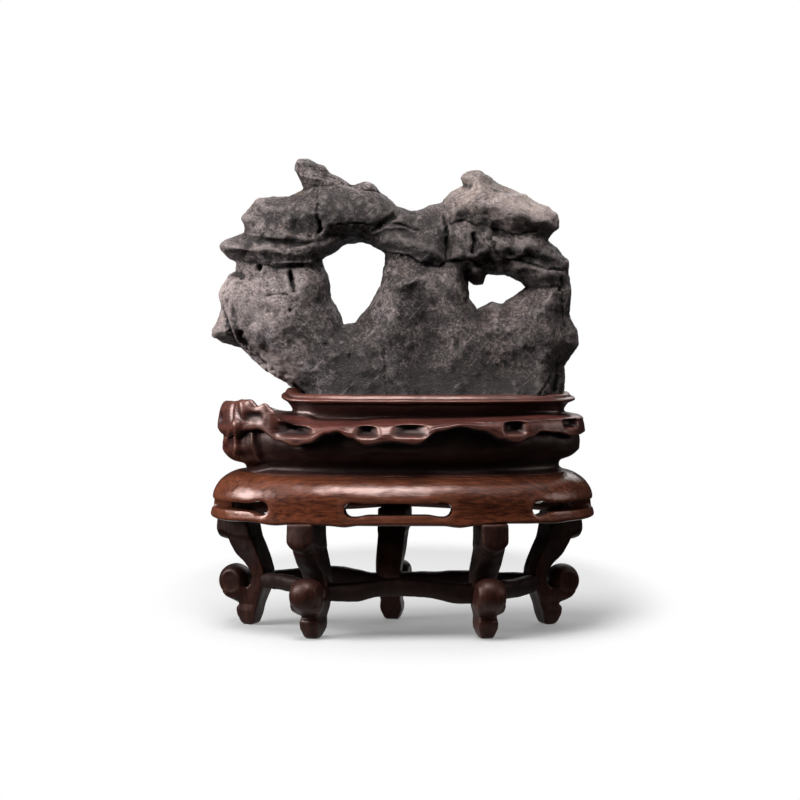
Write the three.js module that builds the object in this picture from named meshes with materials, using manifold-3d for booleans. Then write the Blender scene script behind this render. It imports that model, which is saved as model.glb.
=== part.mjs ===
// A scholar's rock standing in the socket of a carved hardwood stand.
// Millimetres, +Z up. The origin is on the ground under the middle of the stand.
// +X is to the right of someone who faces the rock, and -Y is towards them.
import * as THREE from 'three';
import { mergeVertices } from 'three/addons/utils/BufferGeometryUtils.js';
import Module from 'manifold-3d';

const wasm = await Module();
wasm.setup();

// Driving dimensions.
const gap = 0.3;              // clearance left between pieces that touch
const tableHalfLength = 115;
const tableHalfDepth = 60;
const tableTop = 95.4;
const apronFoot = 67.3;       // underside of the apron, which the legs meet
const panelUnderside = 84.5;  // ceiling of the hollow inside the apron
const apronWall = 12;
const ovalSquareness = 2.3;
const collarHalfLength = 109.5;
const collarHalfDepth = 57;
const rimHalfLength = 88;
const rimHalfDepth = 37;
const rimSquareness = 3;
const rimShift = 15.5;        // the rim sits to the right of the collar's middle
const rimTop = 142.2;
const socketFloor = 137.7;
const legThickness = 16.5;
const legTop = apronFoot - gap;
const scrollRadius = 9.8;
const scrollOut = 7.6;        // from the foot to the middle of the scroll
const scrollHeight = 26;
const barWidth = 8.5;
const barHeight = 10;
const rockBase = socketFloor + gap;
const rockHalfDepth = 24;
const rockEdge = 25;          // how far in from its outline the stone reaches full thickness
const rockCell = 7.3;         // facet size of the stone
const ringSteps = 50;         // facets around each oval piece

const darkWood = { color: 0x3a1a12, roughness: 0.38, metalness: 0 };
const redWood = { color: 0x4a2216, roughness: 0.36, metalness: 0 };
const greyStone = { color: 0x5a5250, roughness: 0.55, metalness: 0 };

const stand = new THREE.Group();
const figure = new THREE.Group();
figure.add(stand);

function addPiece(group, name, geometry, look) {
  const mesh = new THREE.Mesh(geometry, new THREE.MeshStandardMaterial(look));
  mesh.name = name;
  group.add(mesh);
  return mesh;
}

// Solids and meshes.
function welded(geometry) {
  const bare = geometry.clone();
  bare.deleteAttribute('normal');
  bare.deleteAttribute('uv');
  return mergeVertices(bare, 1e-4);
}

function enclosedVolume(geometry) {
  const p = geometry.getAttribute('position');
  const index = geometry.getIndex().array;
  const corners = [new THREE.Vector3(), new THREE.Vector3(), new THREE.Vector3()];
  let sum = 0;
  for (let i = 0; i < index.length; i += 3) {
    corners.forEach((corner, k) => corner.fromBufferAttribute(p, index[i + k]));
    sum += corners[0].dot(corners[1].cross(corners[2])) / 6;
  }
  return sum;
}

function toSolid(geometry) {
  const closed = welded(geometry);
  const triangles = Uint32Array.from(closed.getIndex().array);
  if (enclosedVolume(closed) < 0) {
    for (let i = 0; i < triangles.length; i += 3) {
      [triangles[i], triangles[i + 1]] = [triangles[i + 1], triangles[i]];
    }
  }
  const vertProperties = Float32Array.from(closed.getAttribute('position').array);
  return new wasm.Manifold(new wasm.Mesh({ numProp: 3, vertProperties, triVerts: triangles }));
}

function toGeometry(solid) {
  const mesh = solid.getMesh();
  const positions = new Float32Array(mesh.numVert * 3);
  for (let i = 0; i < mesh.numVert; i += 1) {
    for (let k = 0; k < 3; k += 1) {
      positions[i * 3 + k] = mesh.vertProperties[i * mesh.numProp + k];
    }
  }
  const geometry = new THREE.BufferGeometry();
  geometry.setAttribute('position', new THREE.BufferAttribute(positions, 3));
  geometry.setIndex(Array.from(mesh.triVerts));
  geometry.computeVertexNormals();
  return geometry;
}

// A point of an oval in plan. A squareness of 2 is an ellipse, and more makes it boxier.
function ovalPoint(angle, halfLength, halfDepth, squareness, shift = 0) {
  const c = Math.cos(angle);
  const s = Math.sin(angle);
  const power = 2 / squareness;
  const x = shift + halfLength * Math.sign(c) * Math.abs(c) ** power;
  const y = halfDepth * Math.sign(s) * Math.abs(s) ** power;
  return new THREE.Vector2(x, y);
}

// A turned solid whose rings are then laid out as ovals. Each ring gives z, halfLength,
// halfDepth, and optionally squareness, shift and a wave(angle) that returns [grow, rise].
function ovalTurning(rings) {
  const bottom = { ...rings[0], halfLength: 0, halfDepth: 0, wave: null };
  const top = { ...rings[rings.length - 1], halfLength: 0, halfDepth: 0, wave: null };
  const all = [bottom, ...rings, top];
  const profile = all.map((ring, i) => new THREE.Vector2(ring.halfLength, i));
  const geometry = new THREE.LatheGeometry(profile, ringSteps);
  const p = geometry.getAttribute('position');
  for (let i = 0; i < p.count; i += 1) {
    const ring = all[i % all.length];
    const step = Math.floor(i / all.length) % ringSteps;
    const angle = (step / ringSteps) * Math.PI * 2;
    const [grow, rise] = ring.wave ? ring.wave(angle) : [0, 0];
    const length = Math.max(ring.halfLength + (ring.halfLength > 0 ? grow : 0), 0);
    const depth = Math.max(ring.halfDepth + (ring.halfDepth > 0 ? grow : 0), 0);
    const xy = ovalPoint(angle, length, depth, ring.squareness ?? ovalSquareness, ring.shift ?? 0);
    p.setXYZ(i, xy.x, xy.y, ring.z + rise);
  }
  return geometry;
}

// Table of the stand: a bull-nosed oval with a hollow underside and five long slots.
const slots = [
  { middle: -91.3, halfArc: 13.1 },
  { middle: -23.2, halfArc: 28.2 },
  { middle: 54, halfArc: 16 },
  { middle: 126, halfArc: 16 },
  { middle: 202.3, halfArc: 27.3 },
];
const slotLow = 72.4;
const slotHigh = 81.4;
const slotOverrun = 12;       // how far the cutter runs past both faces of the apron

function slotCutter(middle, halfArc) {
  const steps = 12;
  const cutter = new THREE.BoxGeometry(2, 2, 2, steps, 1, 1);
  const p = cutter.getAttribute('position');
  for (let i = 0; i < p.count; i += 1) {
    const along = p.getX(i);
    const angle = THREE.MathUtils.degToRad(middle + along * halfArc);
    const reach = p.getY(i) > 0 ? slotOverrun : -apronWall - slotOverrun;
    const waist = Math.abs(along) > 0.8 ? 0 : 1;  // the slot is a little lower between its ends
    const z = p.getZ(i) > 0 ? slotHigh - waist : slotLow + waist;
    const xy = ovalPoint(angle, tableHalfLength + reach, tableHalfDepth + reach, ovalSquareness);
    p.setXYZ(i, xy.x, xy.y, z);
  }
  return toSolid(cutter);
}

function tableTopGeometry() {
  const outer = (inset, z) => ({
    z,
    halfLength: tableHalfLength - inset,
    halfDepth: tableHalfDepth - inset,
  });
  const body = ovalTurning([
    outer(apronWall, panelUnderside),
    outer(apronWall - 1, apronFoot + 1),
    outer(apronWall - 2, apronFoot),
    outer(1, apronFoot),
    outer(0, apronFoot + 2.4),
    outer(0.8, 74),
    outer(0, 80),
    outer(1.4, 85),
    outer(4.4, 89.6),
    outer(9, 93.2),
    outer(14, tableTop),
  ]);
  let solid = toSolid(body);
  slots.forEach(({ middle, halfArc }) => {
    solid = solid.subtract(slotCutter(middle, halfArc));
  });
  return toGeometry(solid);
}

// Seat carved from one block: waist, scalloped collar, neck, and the rim around the socket.
const lobes = 11;             // around the collar's lip
const lobeTurn = 0.6;

function collarLip(swing, drop) {
  return (angle) => {
    const wave = Math.cos(lobes * angle + lobeTurn);
    return [swing * wave, drop * wave];
  };
}

function upturnedEnd(lift) {
  return (angle) => [0, lift * Math.max(0, -Math.cos(angle)) ** 8];
}

function rockSeatGeometry() {
  const collar = (inset, z, swing = 0, drop = 0) => ({
    z,
    halfLength: collarHalfLength - inset,
    halfDepth: collarHalfDepth - inset,
    wave: collarLip(swing, drop),
  });
  const rim = (inset, z, lift = 0) => ({
    z,
    halfLength: rimHalfLength - inset,
    halfDepth: rimHalfDepth - inset,
    squareness: rimSquareness,
    shift: rimShift,
    wave: upturnedEnd(lift),
  });
  return toGeometry(toSolid(ovalTurning([
    collar(11, tableTop + gap),
    collar(15.5, 99.4),
    collar(11.5, 103.5),
    collar(5.5, 107.5, 0.6),
    collar(2.6, 112.5, 1, 0.5),
    collar(2.2, 118, 1.4, 1.4),
    collar(0, 123.2, 1.4, 2.4),
    collar(0.6, 127, 1.4, 2),
    collar(4.6, 129.4, 1, 1.2),
    rim(3.6, 129.6),
    rim(4.4, 134.4),
    rim(0.6, 138.6, 1),
    rim(0, 139.8, 2),
    rim(1.4, rimTop, 3),
    rim(5, rimTop),
    rim(5, socketFloor),
  ])));
}

// Cabriole leg with an outward scroll and a small foot. Local x points away from the middle of
// the stand, and the local origin is under the foot.
const backOfLeg = [
  [-3, 0], [-5, 9], [-6, 14.5], [-8, 20], [-10.8, 26], [-12.6, 33], [-12.4, 38],
  [-11, 43], [-7.4, 51], [-4, 59], [-3, legTop],
];
const faceOfLeg = [
  [15, legTop], [15, 60], [13.6, 53.6], [11, 50.6], [5.4, 46], [0.8, 41], [-2, 37], [-2.6, 33],
  [1, 26], [2, 18], [4.6, 14], [7.4, 9], [5.6, 4], [3.6, 0],
];

function legSolid(grow = 0) {
  const shape = new THREE.Shape([...backOfLeg, ...faceOfLeg].map(([x, z]) => new THREE.Vector2(x, z)));
  const chamfer = 1.6;
  const blade = new THREE.ExtrudeGeometry(shape, {
    depth: legThickness + 2 * grow - 2 * chamfer,
    bevelEnabled: true,
    bevelSegments: 1,
    bevelSize: chamfer,
    bevelThickness: chamfer,
    bevelOffset: grow - chamfer,
  });
  const p = blade.getAttribute('position');
  for (let i = 0; i < p.count; i += 1) {
    const z = p.getY(i);
    const taper = 0.72 + 0.28 * THREE.MathUtils.smoothstep(z, 22, 56);
    p.setXYZ(i, p.getX(i), (p.getZ(i) - legThickness / 2 - grow + chamfer) * taper, Math.max(z, 0));
  }
  const r = scrollRadius + grow;
  const half = r * 0.86;
  const scroll = new THREE.LatheGeometry([
    [0, -half], [r * 0.62, -half * 0.82], [r, -half * 0.3],
    [r, half * 0.3], [r * 0.62, half * 0.82], [0, half],
  ].map(([out, across]) => new THREE.Vector2(out, across)), 12);
  scroll.translate(scrollOut, 0, scrollHeight);
  return toSolid(blade).add(toSolid(scroll));
}

const legs = [
  { name: 'leg_front_left', foot: [-53.5, -41], facing: -111 },
  { name: 'leg_front_right', foot: [49.5, -41], facing: -78 },
  { name: 'leg_right', foot: [90.5, 20], facing: 25 },
  { name: 'leg_rear', foot: [-5.4, 42.5], facing: 76 },
  { name: 'leg_left', foot: [-94.5, 20], facing: 155 },
];

function placedLeg(leg, grow = 0) {
  const turn = new THREE.Matrix4().makeRotationZ(THREE.MathUtils.degToRad(leg.facing));
  turn.setPosition(leg.foot[0], leg.foot[1], 0);
  return toSolid(toGeometry(legSolid(grow)).applyMatrix4(turn));
}

// Hump-backed bar that ties two legs together behind their scrolls.
const stretchers = [
  { name: 'stretcher_front', legs: [0, 1] },
  { name: 'stretcher_right', legs: [1, 2] },
  { name: 'stretcher_rear_right', legs: [2, 3] },
  { name: 'stretcher_rear_left', legs: [3, 4] },
  { name: 'stretcher_left', legs: [4, 0] },
];
const barEndHeight = 27;
const barHump = 4.4;
const barBow = 6;             // how far the middle of a bar bows outwards
const barInset = 5.5;         // from the foot's middle to the end of the bar

function barEnd(leg) {
  const turn = THREE.MathUtils.degToRad(leg.facing);
  const x = leg.foot[0] - barInset * Math.cos(turn);
  const y = leg.foot[1] - barInset * Math.sin(turn);
  return new THREE.Vector3(x, y, barEndHeight);
}

function stretcherGeometry(first, second) {
  const start = barEnd(first);
  const end = barEnd(second);
  const middle = start.clone().add(end).multiplyScalar(0.5);
  const outward = new THREE.Vector3(middle.x, middle.y * 2, 0).normalize();
  const path = new THREE.QuadraticBezierCurve3(start, middle.addScaledVector(outward, barBow), end);
  const bar = new THREE.CylinderGeometry(1, 1, 1, 8, 8);
  const p = bar.getAttribute('position');
  const up = new THREE.Vector3(0, 0, 1);
  for (let i = 0; i < p.count; i += 1) {
    const t = p.getY(i) + 0.5;
    const side = path.getTangent(t).cross(up).normalize();
    const lift = barHump * Math.sin(Math.PI * t) ** 2;
    const tenon = 1 - 0.55 * Math.abs(2 * t - 1) ** 16;
    const point = path.getPoint(t).addScaledVector(side, tenon * p.getX(i) * barWidth / 2);
    point.z += lift + tenon * p.getZ(i) * barHeight / 2;
    p.setXYZ(i, point.x, point.y, point.z);
  }
  const cut = toSolid(bar).subtract(placedLeg(first, gap)).subtract(placedLeg(second, gap));
  return toGeometry(cut);
}

// The stone. Its outline and its two windows are drawn in the XZ plane.
const outline = [
  [-60, 116], [-59, 143], [-66, 147], [-72, 150], [-81, 155], [-89, 162], [-97, 169], [-108, 172],
  [-115, 174], [-114.5, 182], [-110, 188], [-109, 198], [-107.5, 207], [-101, 214], [-99.5, 219],
  [-105, 224], [-107.5, 230], [-101, 236], [-94, 239], [-93.5, 246], [-89, 252], [-83, 258],
  [-68, 259], [-59.5, 263.5], [-60.5, 270], [-64, 278], [-62.5, 281.5], [-54, 280], [-44, 275.5],
  [-31, 267.5], [-17.5, 267.5], [-11, 261], [-4, 254.5], [7, 251.5], [20, 254.5], [30, 260],
  [37, 265], [35.5, 271.5], [44, 275], [51.5, 273], [60, 266], [70, 260.5], [81, 256.5], [89, 252],
  [94, 245], [93, 238], [86, 233.5], [93, 227], [99, 220], [98.5, 214], [101, 204], [100, 189],
  [105, 178], [105.5, 169], [100, 163], [96.5, 155], [97, 147], [95.5, 143], [95, 116],
];
const windows = [
  [[-48, 222], [-41, 226.5], [-34, 232], [-25, 233], [-16, 229], [-10.5, 224], [-10.5, 216],
    [-16, 200], [-24, 188], [-32, 181.5], [-36.5, 182.5], [-38, 190], [-44, 200], [-45.5, 214]],
  [[38.5, 211], [46, 208], [55, 213], [66, 212], [74, 207.5], [66, 201], [58, 196.5],
    [51, 197], [45, 192.5], [40, 199]],
];

// Swellings of the front and back faces: [x, z, spread in x, spread in z, height].
const frontSwells = [
  [-86, 196, 26, 22, 3], [-60, 166, 36, 26, 5], [60, 176, 34, 30, 8], [66, 244, 30, 16, 4],
  [6, 232, 26, 12, 3], [-50, 250, 26, 10, -6], [-60, 276, 16, 12, -14], [-96, 228, 20, 10, -4],
  [14, 190, 16, 34, -4],
];
const backSwells = [
  [-70, 190, 40, 26, 5], [40, 166, 46, 26, 6], [62, 236, 34, 20, 2], [-44, 250, 34, 14, -7],
  [-60, 276, 16, 12, -12], [2, 226, 20, 20, -5], [88, 190, 18, 26, -4],
];

function faceDepth(x, z, swells) {
  return swells.reduce((sum, [cx, cz, sx, sz, height]) => (
    sum + height * Math.exp(-(((x - cx) / sx) ** 2) - ((z - cz) / sz) ** 2)), rockHalfDepth);
}

function distanceToLoop(x, z, loop) {
  let best = Infinity;
  let inside = false;
  loop.forEach(([ax, az], i) => {
    const [bx, bz] = loop[(i + 1) % loop.length];
    const t = ((x - ax) * (bx - ax) + (z - az) * (bz - az)) / ((bx - ax) ** 2 + (bz - az) ** 2);
    const k = THREE.MathUtils.clamp(t, 0, 1);
    best = Math.min(best, Math.hypot(x - ax - k * (bx - ax), z - az - k * (bz - az)));
    if ((az > z) !== (bz > z) && x < ax + ((z - az) * (bx - ax)) / (bz - az)) {
      inside = !inside;
    }
  });
  return inside ? best : -best;
}

// Positive inside the stone, negative outside, and zero on its skin.
function stoneField(x, y, z) {
  const toWindow = Math.min(...windows.map((loop) => -distanceToLoop(x, z, loop)));
  const inward = Math.min(distanceToLoop(x, z, outline), toWindow);
  const front = -faceDepth(x, z, frontSwells);
  const back = faceDepth(x, z, backSwells);
  const across = (y - (front + back) / 2) / ((back - front) / 2);
  const fromEdge = inward > rockEdge ? 0 : 1 - inward / rockEdge;
  return Math.min(1 - Math.hypot(fromEdge, across), (z - rockBase) / rockEdge);
}

// A closed skin of square-ish facets around the field: one corner in each cell that the skin
// crosses, and one facet across each grid edge whose ends lie on opposite sides.
function skinOf(field, low, counts, cell) {
  const key = (i, j, k) => (i * counts[1] + j) * counts[2] + k;
  const at = (i, n) => low[n] + i * cell;
  const values = new Float64Array(counts[0] * counts[1] * counts[2]);
  const everyNode = (from, visit) => {
    for (let i = from; i < counts[0] - 1 + (from ? 0 : 1); i += 1) {
      for (let j = from; j < counts[1] - 1 + (from ? 0 : 1); j += 1) {
        for (let k = from; k < counts[2] - 1 + (from ? 0 : 1); k += 1) {
          visit([i, j, k]);
        }
      }
    }
  };
  everyNode(0, ([i, j, k]) => {
    values[key(i, j, k)] = field(at(i, 0), at(j, 1), at(k, 2));
  });
  const axes = [[1, 0, 0], [0, 1, 0], [0, 0, 1]];
  const step = (node, axis, by = 1) => node.map((n, m) => n + by * axes[axis][m]);
  const positions = [];
  const corners = new Map();
  const cornerOf = (cellNode) => {
    const id = key(...cellNode);
    if (corners.has(id)) {
      return corners.get(id);
    }
    const sum = [0, 0, 0];
    let crossings = 0;
    axes.forEach((unused, axis) => {
      const [b, c] = [(axis + 1) % 3, (axis + 2) % 3];
      [[0, 0], [1, 0], [0, 1], [1, 1]].forEach(([u, v]) => {
        const start = step(step(cellNode, b, u), c, v);
        const end = step(start, axis);
        const [f, g] = [values[key(...start)], values[key(...end)]];
        if ((f > 0) !== (g > 0)) {
          const t = f / (f - g);
          start.forEach((n, m) => {
            sum[m] += n + t * axes[axis][m];
          });
          crossings += 1;
        }
      });
    });
    positions.push(...sum.map((s, m) => low[m] + (s / crossings) * cell));
    corners.set(id, positions.length / 3 - 1);
    return corners.get(id);
  };
  const index = [];
  everyNode(1, (node) => {
    axes.forEach((unused, axis) => {
      const [f, g] = [values[key(...node)], values[key(...step(node, axis))]];
      if ((f > 0) === (g > 0)) {
        return;
      }
      const [b, c] = [(axis + 1) % 3, (axis + 2) % 3];
      const around = [node, step(node, b, -1), step(step(node, b, -1), c, -1), step(node, c, -1)];
      const [p, q, r, s] = around.map(cornerOf);
      index.push(...(f > 0 ? [p, q, r, p, r, s] : [p, r, q, p, s, r]));
    });
  });
  const geometry = new THREE.BufferGeometry();
  geometry.setAttribute('position', new THREE.BufferAttribute(Float32Array.from(positions), 3));
  geometry.setIndex(index);
  return geometry;
}

function rockGeometry() {
  const low = [-122, -40, rockBase - 1.5 * rockCell];
  const size = [232, 84, 164];
  const counts = size.map((length) => Math.ceil(length / rockCell) + 1);
  const skin = skinOf(stoneField, low, counts, rockCell);
  const p = skin.getAttribute('position');
  for (let i = 0; i < p.count; i += 1) {
    p.setZ(i, Math.max(p.getZ(i), rockBase));
  }
  return toGeometry(toSolid(skin));
}

legs.forEach((leg) => {
  addPiece(stand, leg.name, toGeometry(placedLeg(leg)), darkWood);
});
stretchers.forEach(({ name, legs: [first, second] }) => {
  addPiece(stand, name, stretcherGeometry(legs[first], legs[second]), darkWood);
});
addPiece(stand, 'table_top', tableTopGeometry(), redWood);
addPiece(stand, 'rock_seat', rockSeatGeometry(), redWood);
addPiece(figure, 'rock', rockGeometry(), greyStone);

export default figure;
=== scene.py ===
import math
from collections import Counter
import bpy
import numpy as np
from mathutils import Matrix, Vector, noise


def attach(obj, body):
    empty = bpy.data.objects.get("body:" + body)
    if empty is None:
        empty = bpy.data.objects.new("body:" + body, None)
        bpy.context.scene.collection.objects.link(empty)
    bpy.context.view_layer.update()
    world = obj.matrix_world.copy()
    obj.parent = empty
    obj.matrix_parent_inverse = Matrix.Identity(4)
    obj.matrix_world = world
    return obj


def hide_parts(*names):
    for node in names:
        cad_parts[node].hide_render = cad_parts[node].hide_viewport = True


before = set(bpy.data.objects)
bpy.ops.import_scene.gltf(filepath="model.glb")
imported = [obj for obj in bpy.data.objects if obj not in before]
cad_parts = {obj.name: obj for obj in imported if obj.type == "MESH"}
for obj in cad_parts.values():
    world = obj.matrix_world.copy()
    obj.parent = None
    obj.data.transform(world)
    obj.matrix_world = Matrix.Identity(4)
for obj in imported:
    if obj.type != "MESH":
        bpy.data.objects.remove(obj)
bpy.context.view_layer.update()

mm = 0.001


def clearSelection():
    if bpy.context.object and bpy.context.object.mode != "OBJECT":
        bpy.ops.object.mode_set(mode="OBJECT")
    bpy.ops.object.select_all(action="DESELECT")


def selectOnly(piece):
    clearSelection()
    piece.select_set(True)
    bpy.context.view_layer.objects.active = piece


def applyModifier(piece, kind, **settings):
    selectOnly(piece)
    modifier = piece.modifiers.new(kind.title(), kind)
    for name, value in settings.items():
        setattr(modifier, name, value)
    bpy.ops.object.modifier_apply(modifier=modifier.name)


def editAll(piece):  # edit mode with everything selected
    selectOnly(piece)
    bpy.ops.object.mode_set(mode="EDIT")
    bpy.ops.mesh.select_all(action="SELECT")


def makePiece(name, points, faces):  # points in metres
    mesh = bpy.data.meshes.new(name)
    mesh.from_pydata([tuple(point) for point in points], [], faces)
    piece = bpy.data.objects.new(name, mesh)
    bpy.context.scene.collection.objects.link(piece)
    return piece


def getPoints(piece):
    points = np.empty(len(piece.data.vertices) * 3)
    piece.data.vertices.foreach_get("co", points)
    return points.reshape(-1, 3)


def setPoints(piece, points):
    piece.data.vertices.foreach_set("co", np.ascontiguousarray(points).ravel())
    piece.data.update()


def getNormals(piece):
    normals = np.empty(len(piece.data.vertices) * 3)
    piece.data.vertex_normals.foreach_get("vector", normals)
    return normals.reshape(-1, 3)


def fractalAt(points, size, octaves, seed):  # -1 to 1, size is the wavelength in metres
    offset = Vector((seed * 7.13, seed * 3.71, seed * 5.29))
    return np.array([noise.fractal(Vector(p) / size + offset, 1.0, 2.0, octaves) for p in points])


def neighbourMean(piece, values):
    edges = np.empty(len(piece.data.edges) * 2, dtype=np.int64)
    piece.data.edges.foreach_get("vertices", edges)
    a, b = edges.reshape(-1, 2).T
    count = np.bincount(np.concatenate([a, b]), minlength=len(values)).astype(float)
    means = []
    for column in values.reshape(len(values), -1).T:
        total = np.bincount(a, column[b], len(values)) + np.bincount(b, column[a], len(values))
        means.append(total / np.maximum(count, 1))
    return np.stack(means, axis=1).reshape(values.shape)


def saveAttribute(piece, name, values):
    attribute = piece.data.attributes.new(name, "FLOAT", "POINT")
    attribute.data.foreach_set("value", np.ascontiguousarray(values, dtype=np.float32))


def addHollows(piece, reach, depth, soften=2):  # saves 1 in creases that are depth mm deep, -1 on edges
    points = getPoints(piece)
    soft = points
    for _ in range(reach):
        soft = neighbourMean(piece, soft)
    hollow = ((soft - points) * getNormals(piece)).sum(axis=1)
    for _ in range(soften):
        hollow = neighbourMean(piece, hollow)
    saveAttribute(piece, "hollow", np.clip(hollow / (depth * mm), -1, 1))


def eased(t):
    return t * t * (3 - 2 * t)


def finishPiece(piece, material, slot, *nodes):
    piece.data.materials.clear()
    piece.data.materials.append(material)
    selectOnly(piece)
    bpy.ops.object.shade_smooth()
    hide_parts(*nodes)
    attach(piece, "root")


class Wire:  # a socket that can be used in sums
    def __init__(self, shader, socket):
        self.shader = shader
        self.socket = socket

    def maths(self, operation, first, second):
        made = self.shader.node("ShaderNodeMath", {"operation": operation}, {0: first, 1: second})
        return Wire(self.shader, made.outputs[0])

    def __add__(self, other):
        return self.maths("ADD", self, other)

    def __radd__(self, other):
        return self.maths("ADD", other, self)

    def __sub__(self, other):
        return self.maths("SUBTRACT", self, other)

    def __rsub__(self, other):
        return self.maths("SUBTRACT", other, self)

    def __mul__(self, other):
        return self.maths("MULTIPLY", self, other)

    def __rmul__(self, other):
        return self.maths("MULTIPLY", other, self)

    def between(self, low, high):  # 0 below low, 1 above high
        made = self.shader.node("ShaderNodeMapRange", {"interpolation_type": "SMOOTHSTEP"},
                                {"Value": self, "From Min": low, "From Max": high})
        return Wire(self.shader, made.outputs[0])


class Shader:
    def __init__(self, name):
        self.material = bpy.data.materials.new(name)
        self.material.use_nodes = True
        self.tree = self.material.node_tree
        self.surface = self.tree.nodes["Principled BSDF"]
        coordinates = self.node("ShaderNodeTexCoord", {}, {})
        self.place = coordinates.outputs["Object"]

    def node(self, kind, settings, inputs):
        made = self.tree.nodes.new(kind)
        for name, value in settings.items():
            setattr(made, name, value)
        for name, value in inputs.items():
            self.feed(made.inputs[name], value)
        return made

    def feed(self, socket, value):
        if isinstance(value, Wire):
            value = value.socket
        if isinstance(value, bpy.types.NodeSocket):
            self.tree.links.new(value, socket)
        else:
            socket.default_value = value

    def stretched(self, scale, turn=(0, 0, 0)):
        turned = self.node("ShaderNodeMapping", {}, {"Vector": self.place, "Rotation": turn})
        made = self.node("ShaderNodeMapping", {}, {"Vector": turned.outputs[0], "Scale": scale})
        return made.outputs[0]

    def cloud(self, scale, detail=4.0, roughness=0.55, place=None, distortion=0.0):
        made = self.node("ShaderNodeTexNoise", {}, {
            "Vector": place or self.place, "Scale": scale, "Detail": detail,
            "Roughness": roughness, "Distortion": distortion})
        return Wire(self, made.outputs["Fac"])

    def cellEdges(self, scale, place):
        made = self.node("ShaderNodeTexVoronoi", {"feature": "DISTANCE_TO_EDGE"}, {
            "Vector": place, "Scale": scale})
        return Wire(self, made.outputs["Distance"])

    def attribute(self, name):
        made = self.node("ShaderNodeAttribute", {"attribute_name": name}, {})
        return Wire(self, made.outputs["Fac"])

    def blend(self, factor, first, second, how="MIX"):
        made = self.node("ShaderNodeMix", {"data_type": "RGBA", "blend_type": how}, {})
        self.feed(made.inputs["Factor"], factor)
        self.feed(made.inputs[6], first)
        self.feed(made.inputs[7], second)
        return made.outputs[2]

    def bump(self, height, strength, distance, normal=None):
        inputs = {"Height": height, "Strength": strength, "Distance": distance}
        if normal is not None:
            inputs["Normal"] = normal
        return self.node("ShaderNodeBump", {}, inputs).outputs[0]

    def finish(self, **inputs):
        for name, value in inputs.items():
            self.feed(self.surface.inputs[name.replace("_", " ")], value)
        return self.material


cameraSetup = {
    "place": (-1.5 * mm, -1597 * mm, 235.6 * mm),
    "tilt": 3.5,       # degrees downwards
    "lens": 120,
}


def makeCamera(setup):
    data = bpy.data.cameras.new("Camera")
    data.lens = setup["lens"]
    data.sensor_width = 36
    camera = bpy.data.objects.new("Camera", data)
    camera.location = setup["place"]
    camera.rotation_euler = (math.radians(90 - setup["tilt"]), 0, 0)
    bpy.context.scene.collection.objects.link(camera)
    bpy.context.scene.camera = camera
    print("camera placed")


makeCamera(cameraSetup)


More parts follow.
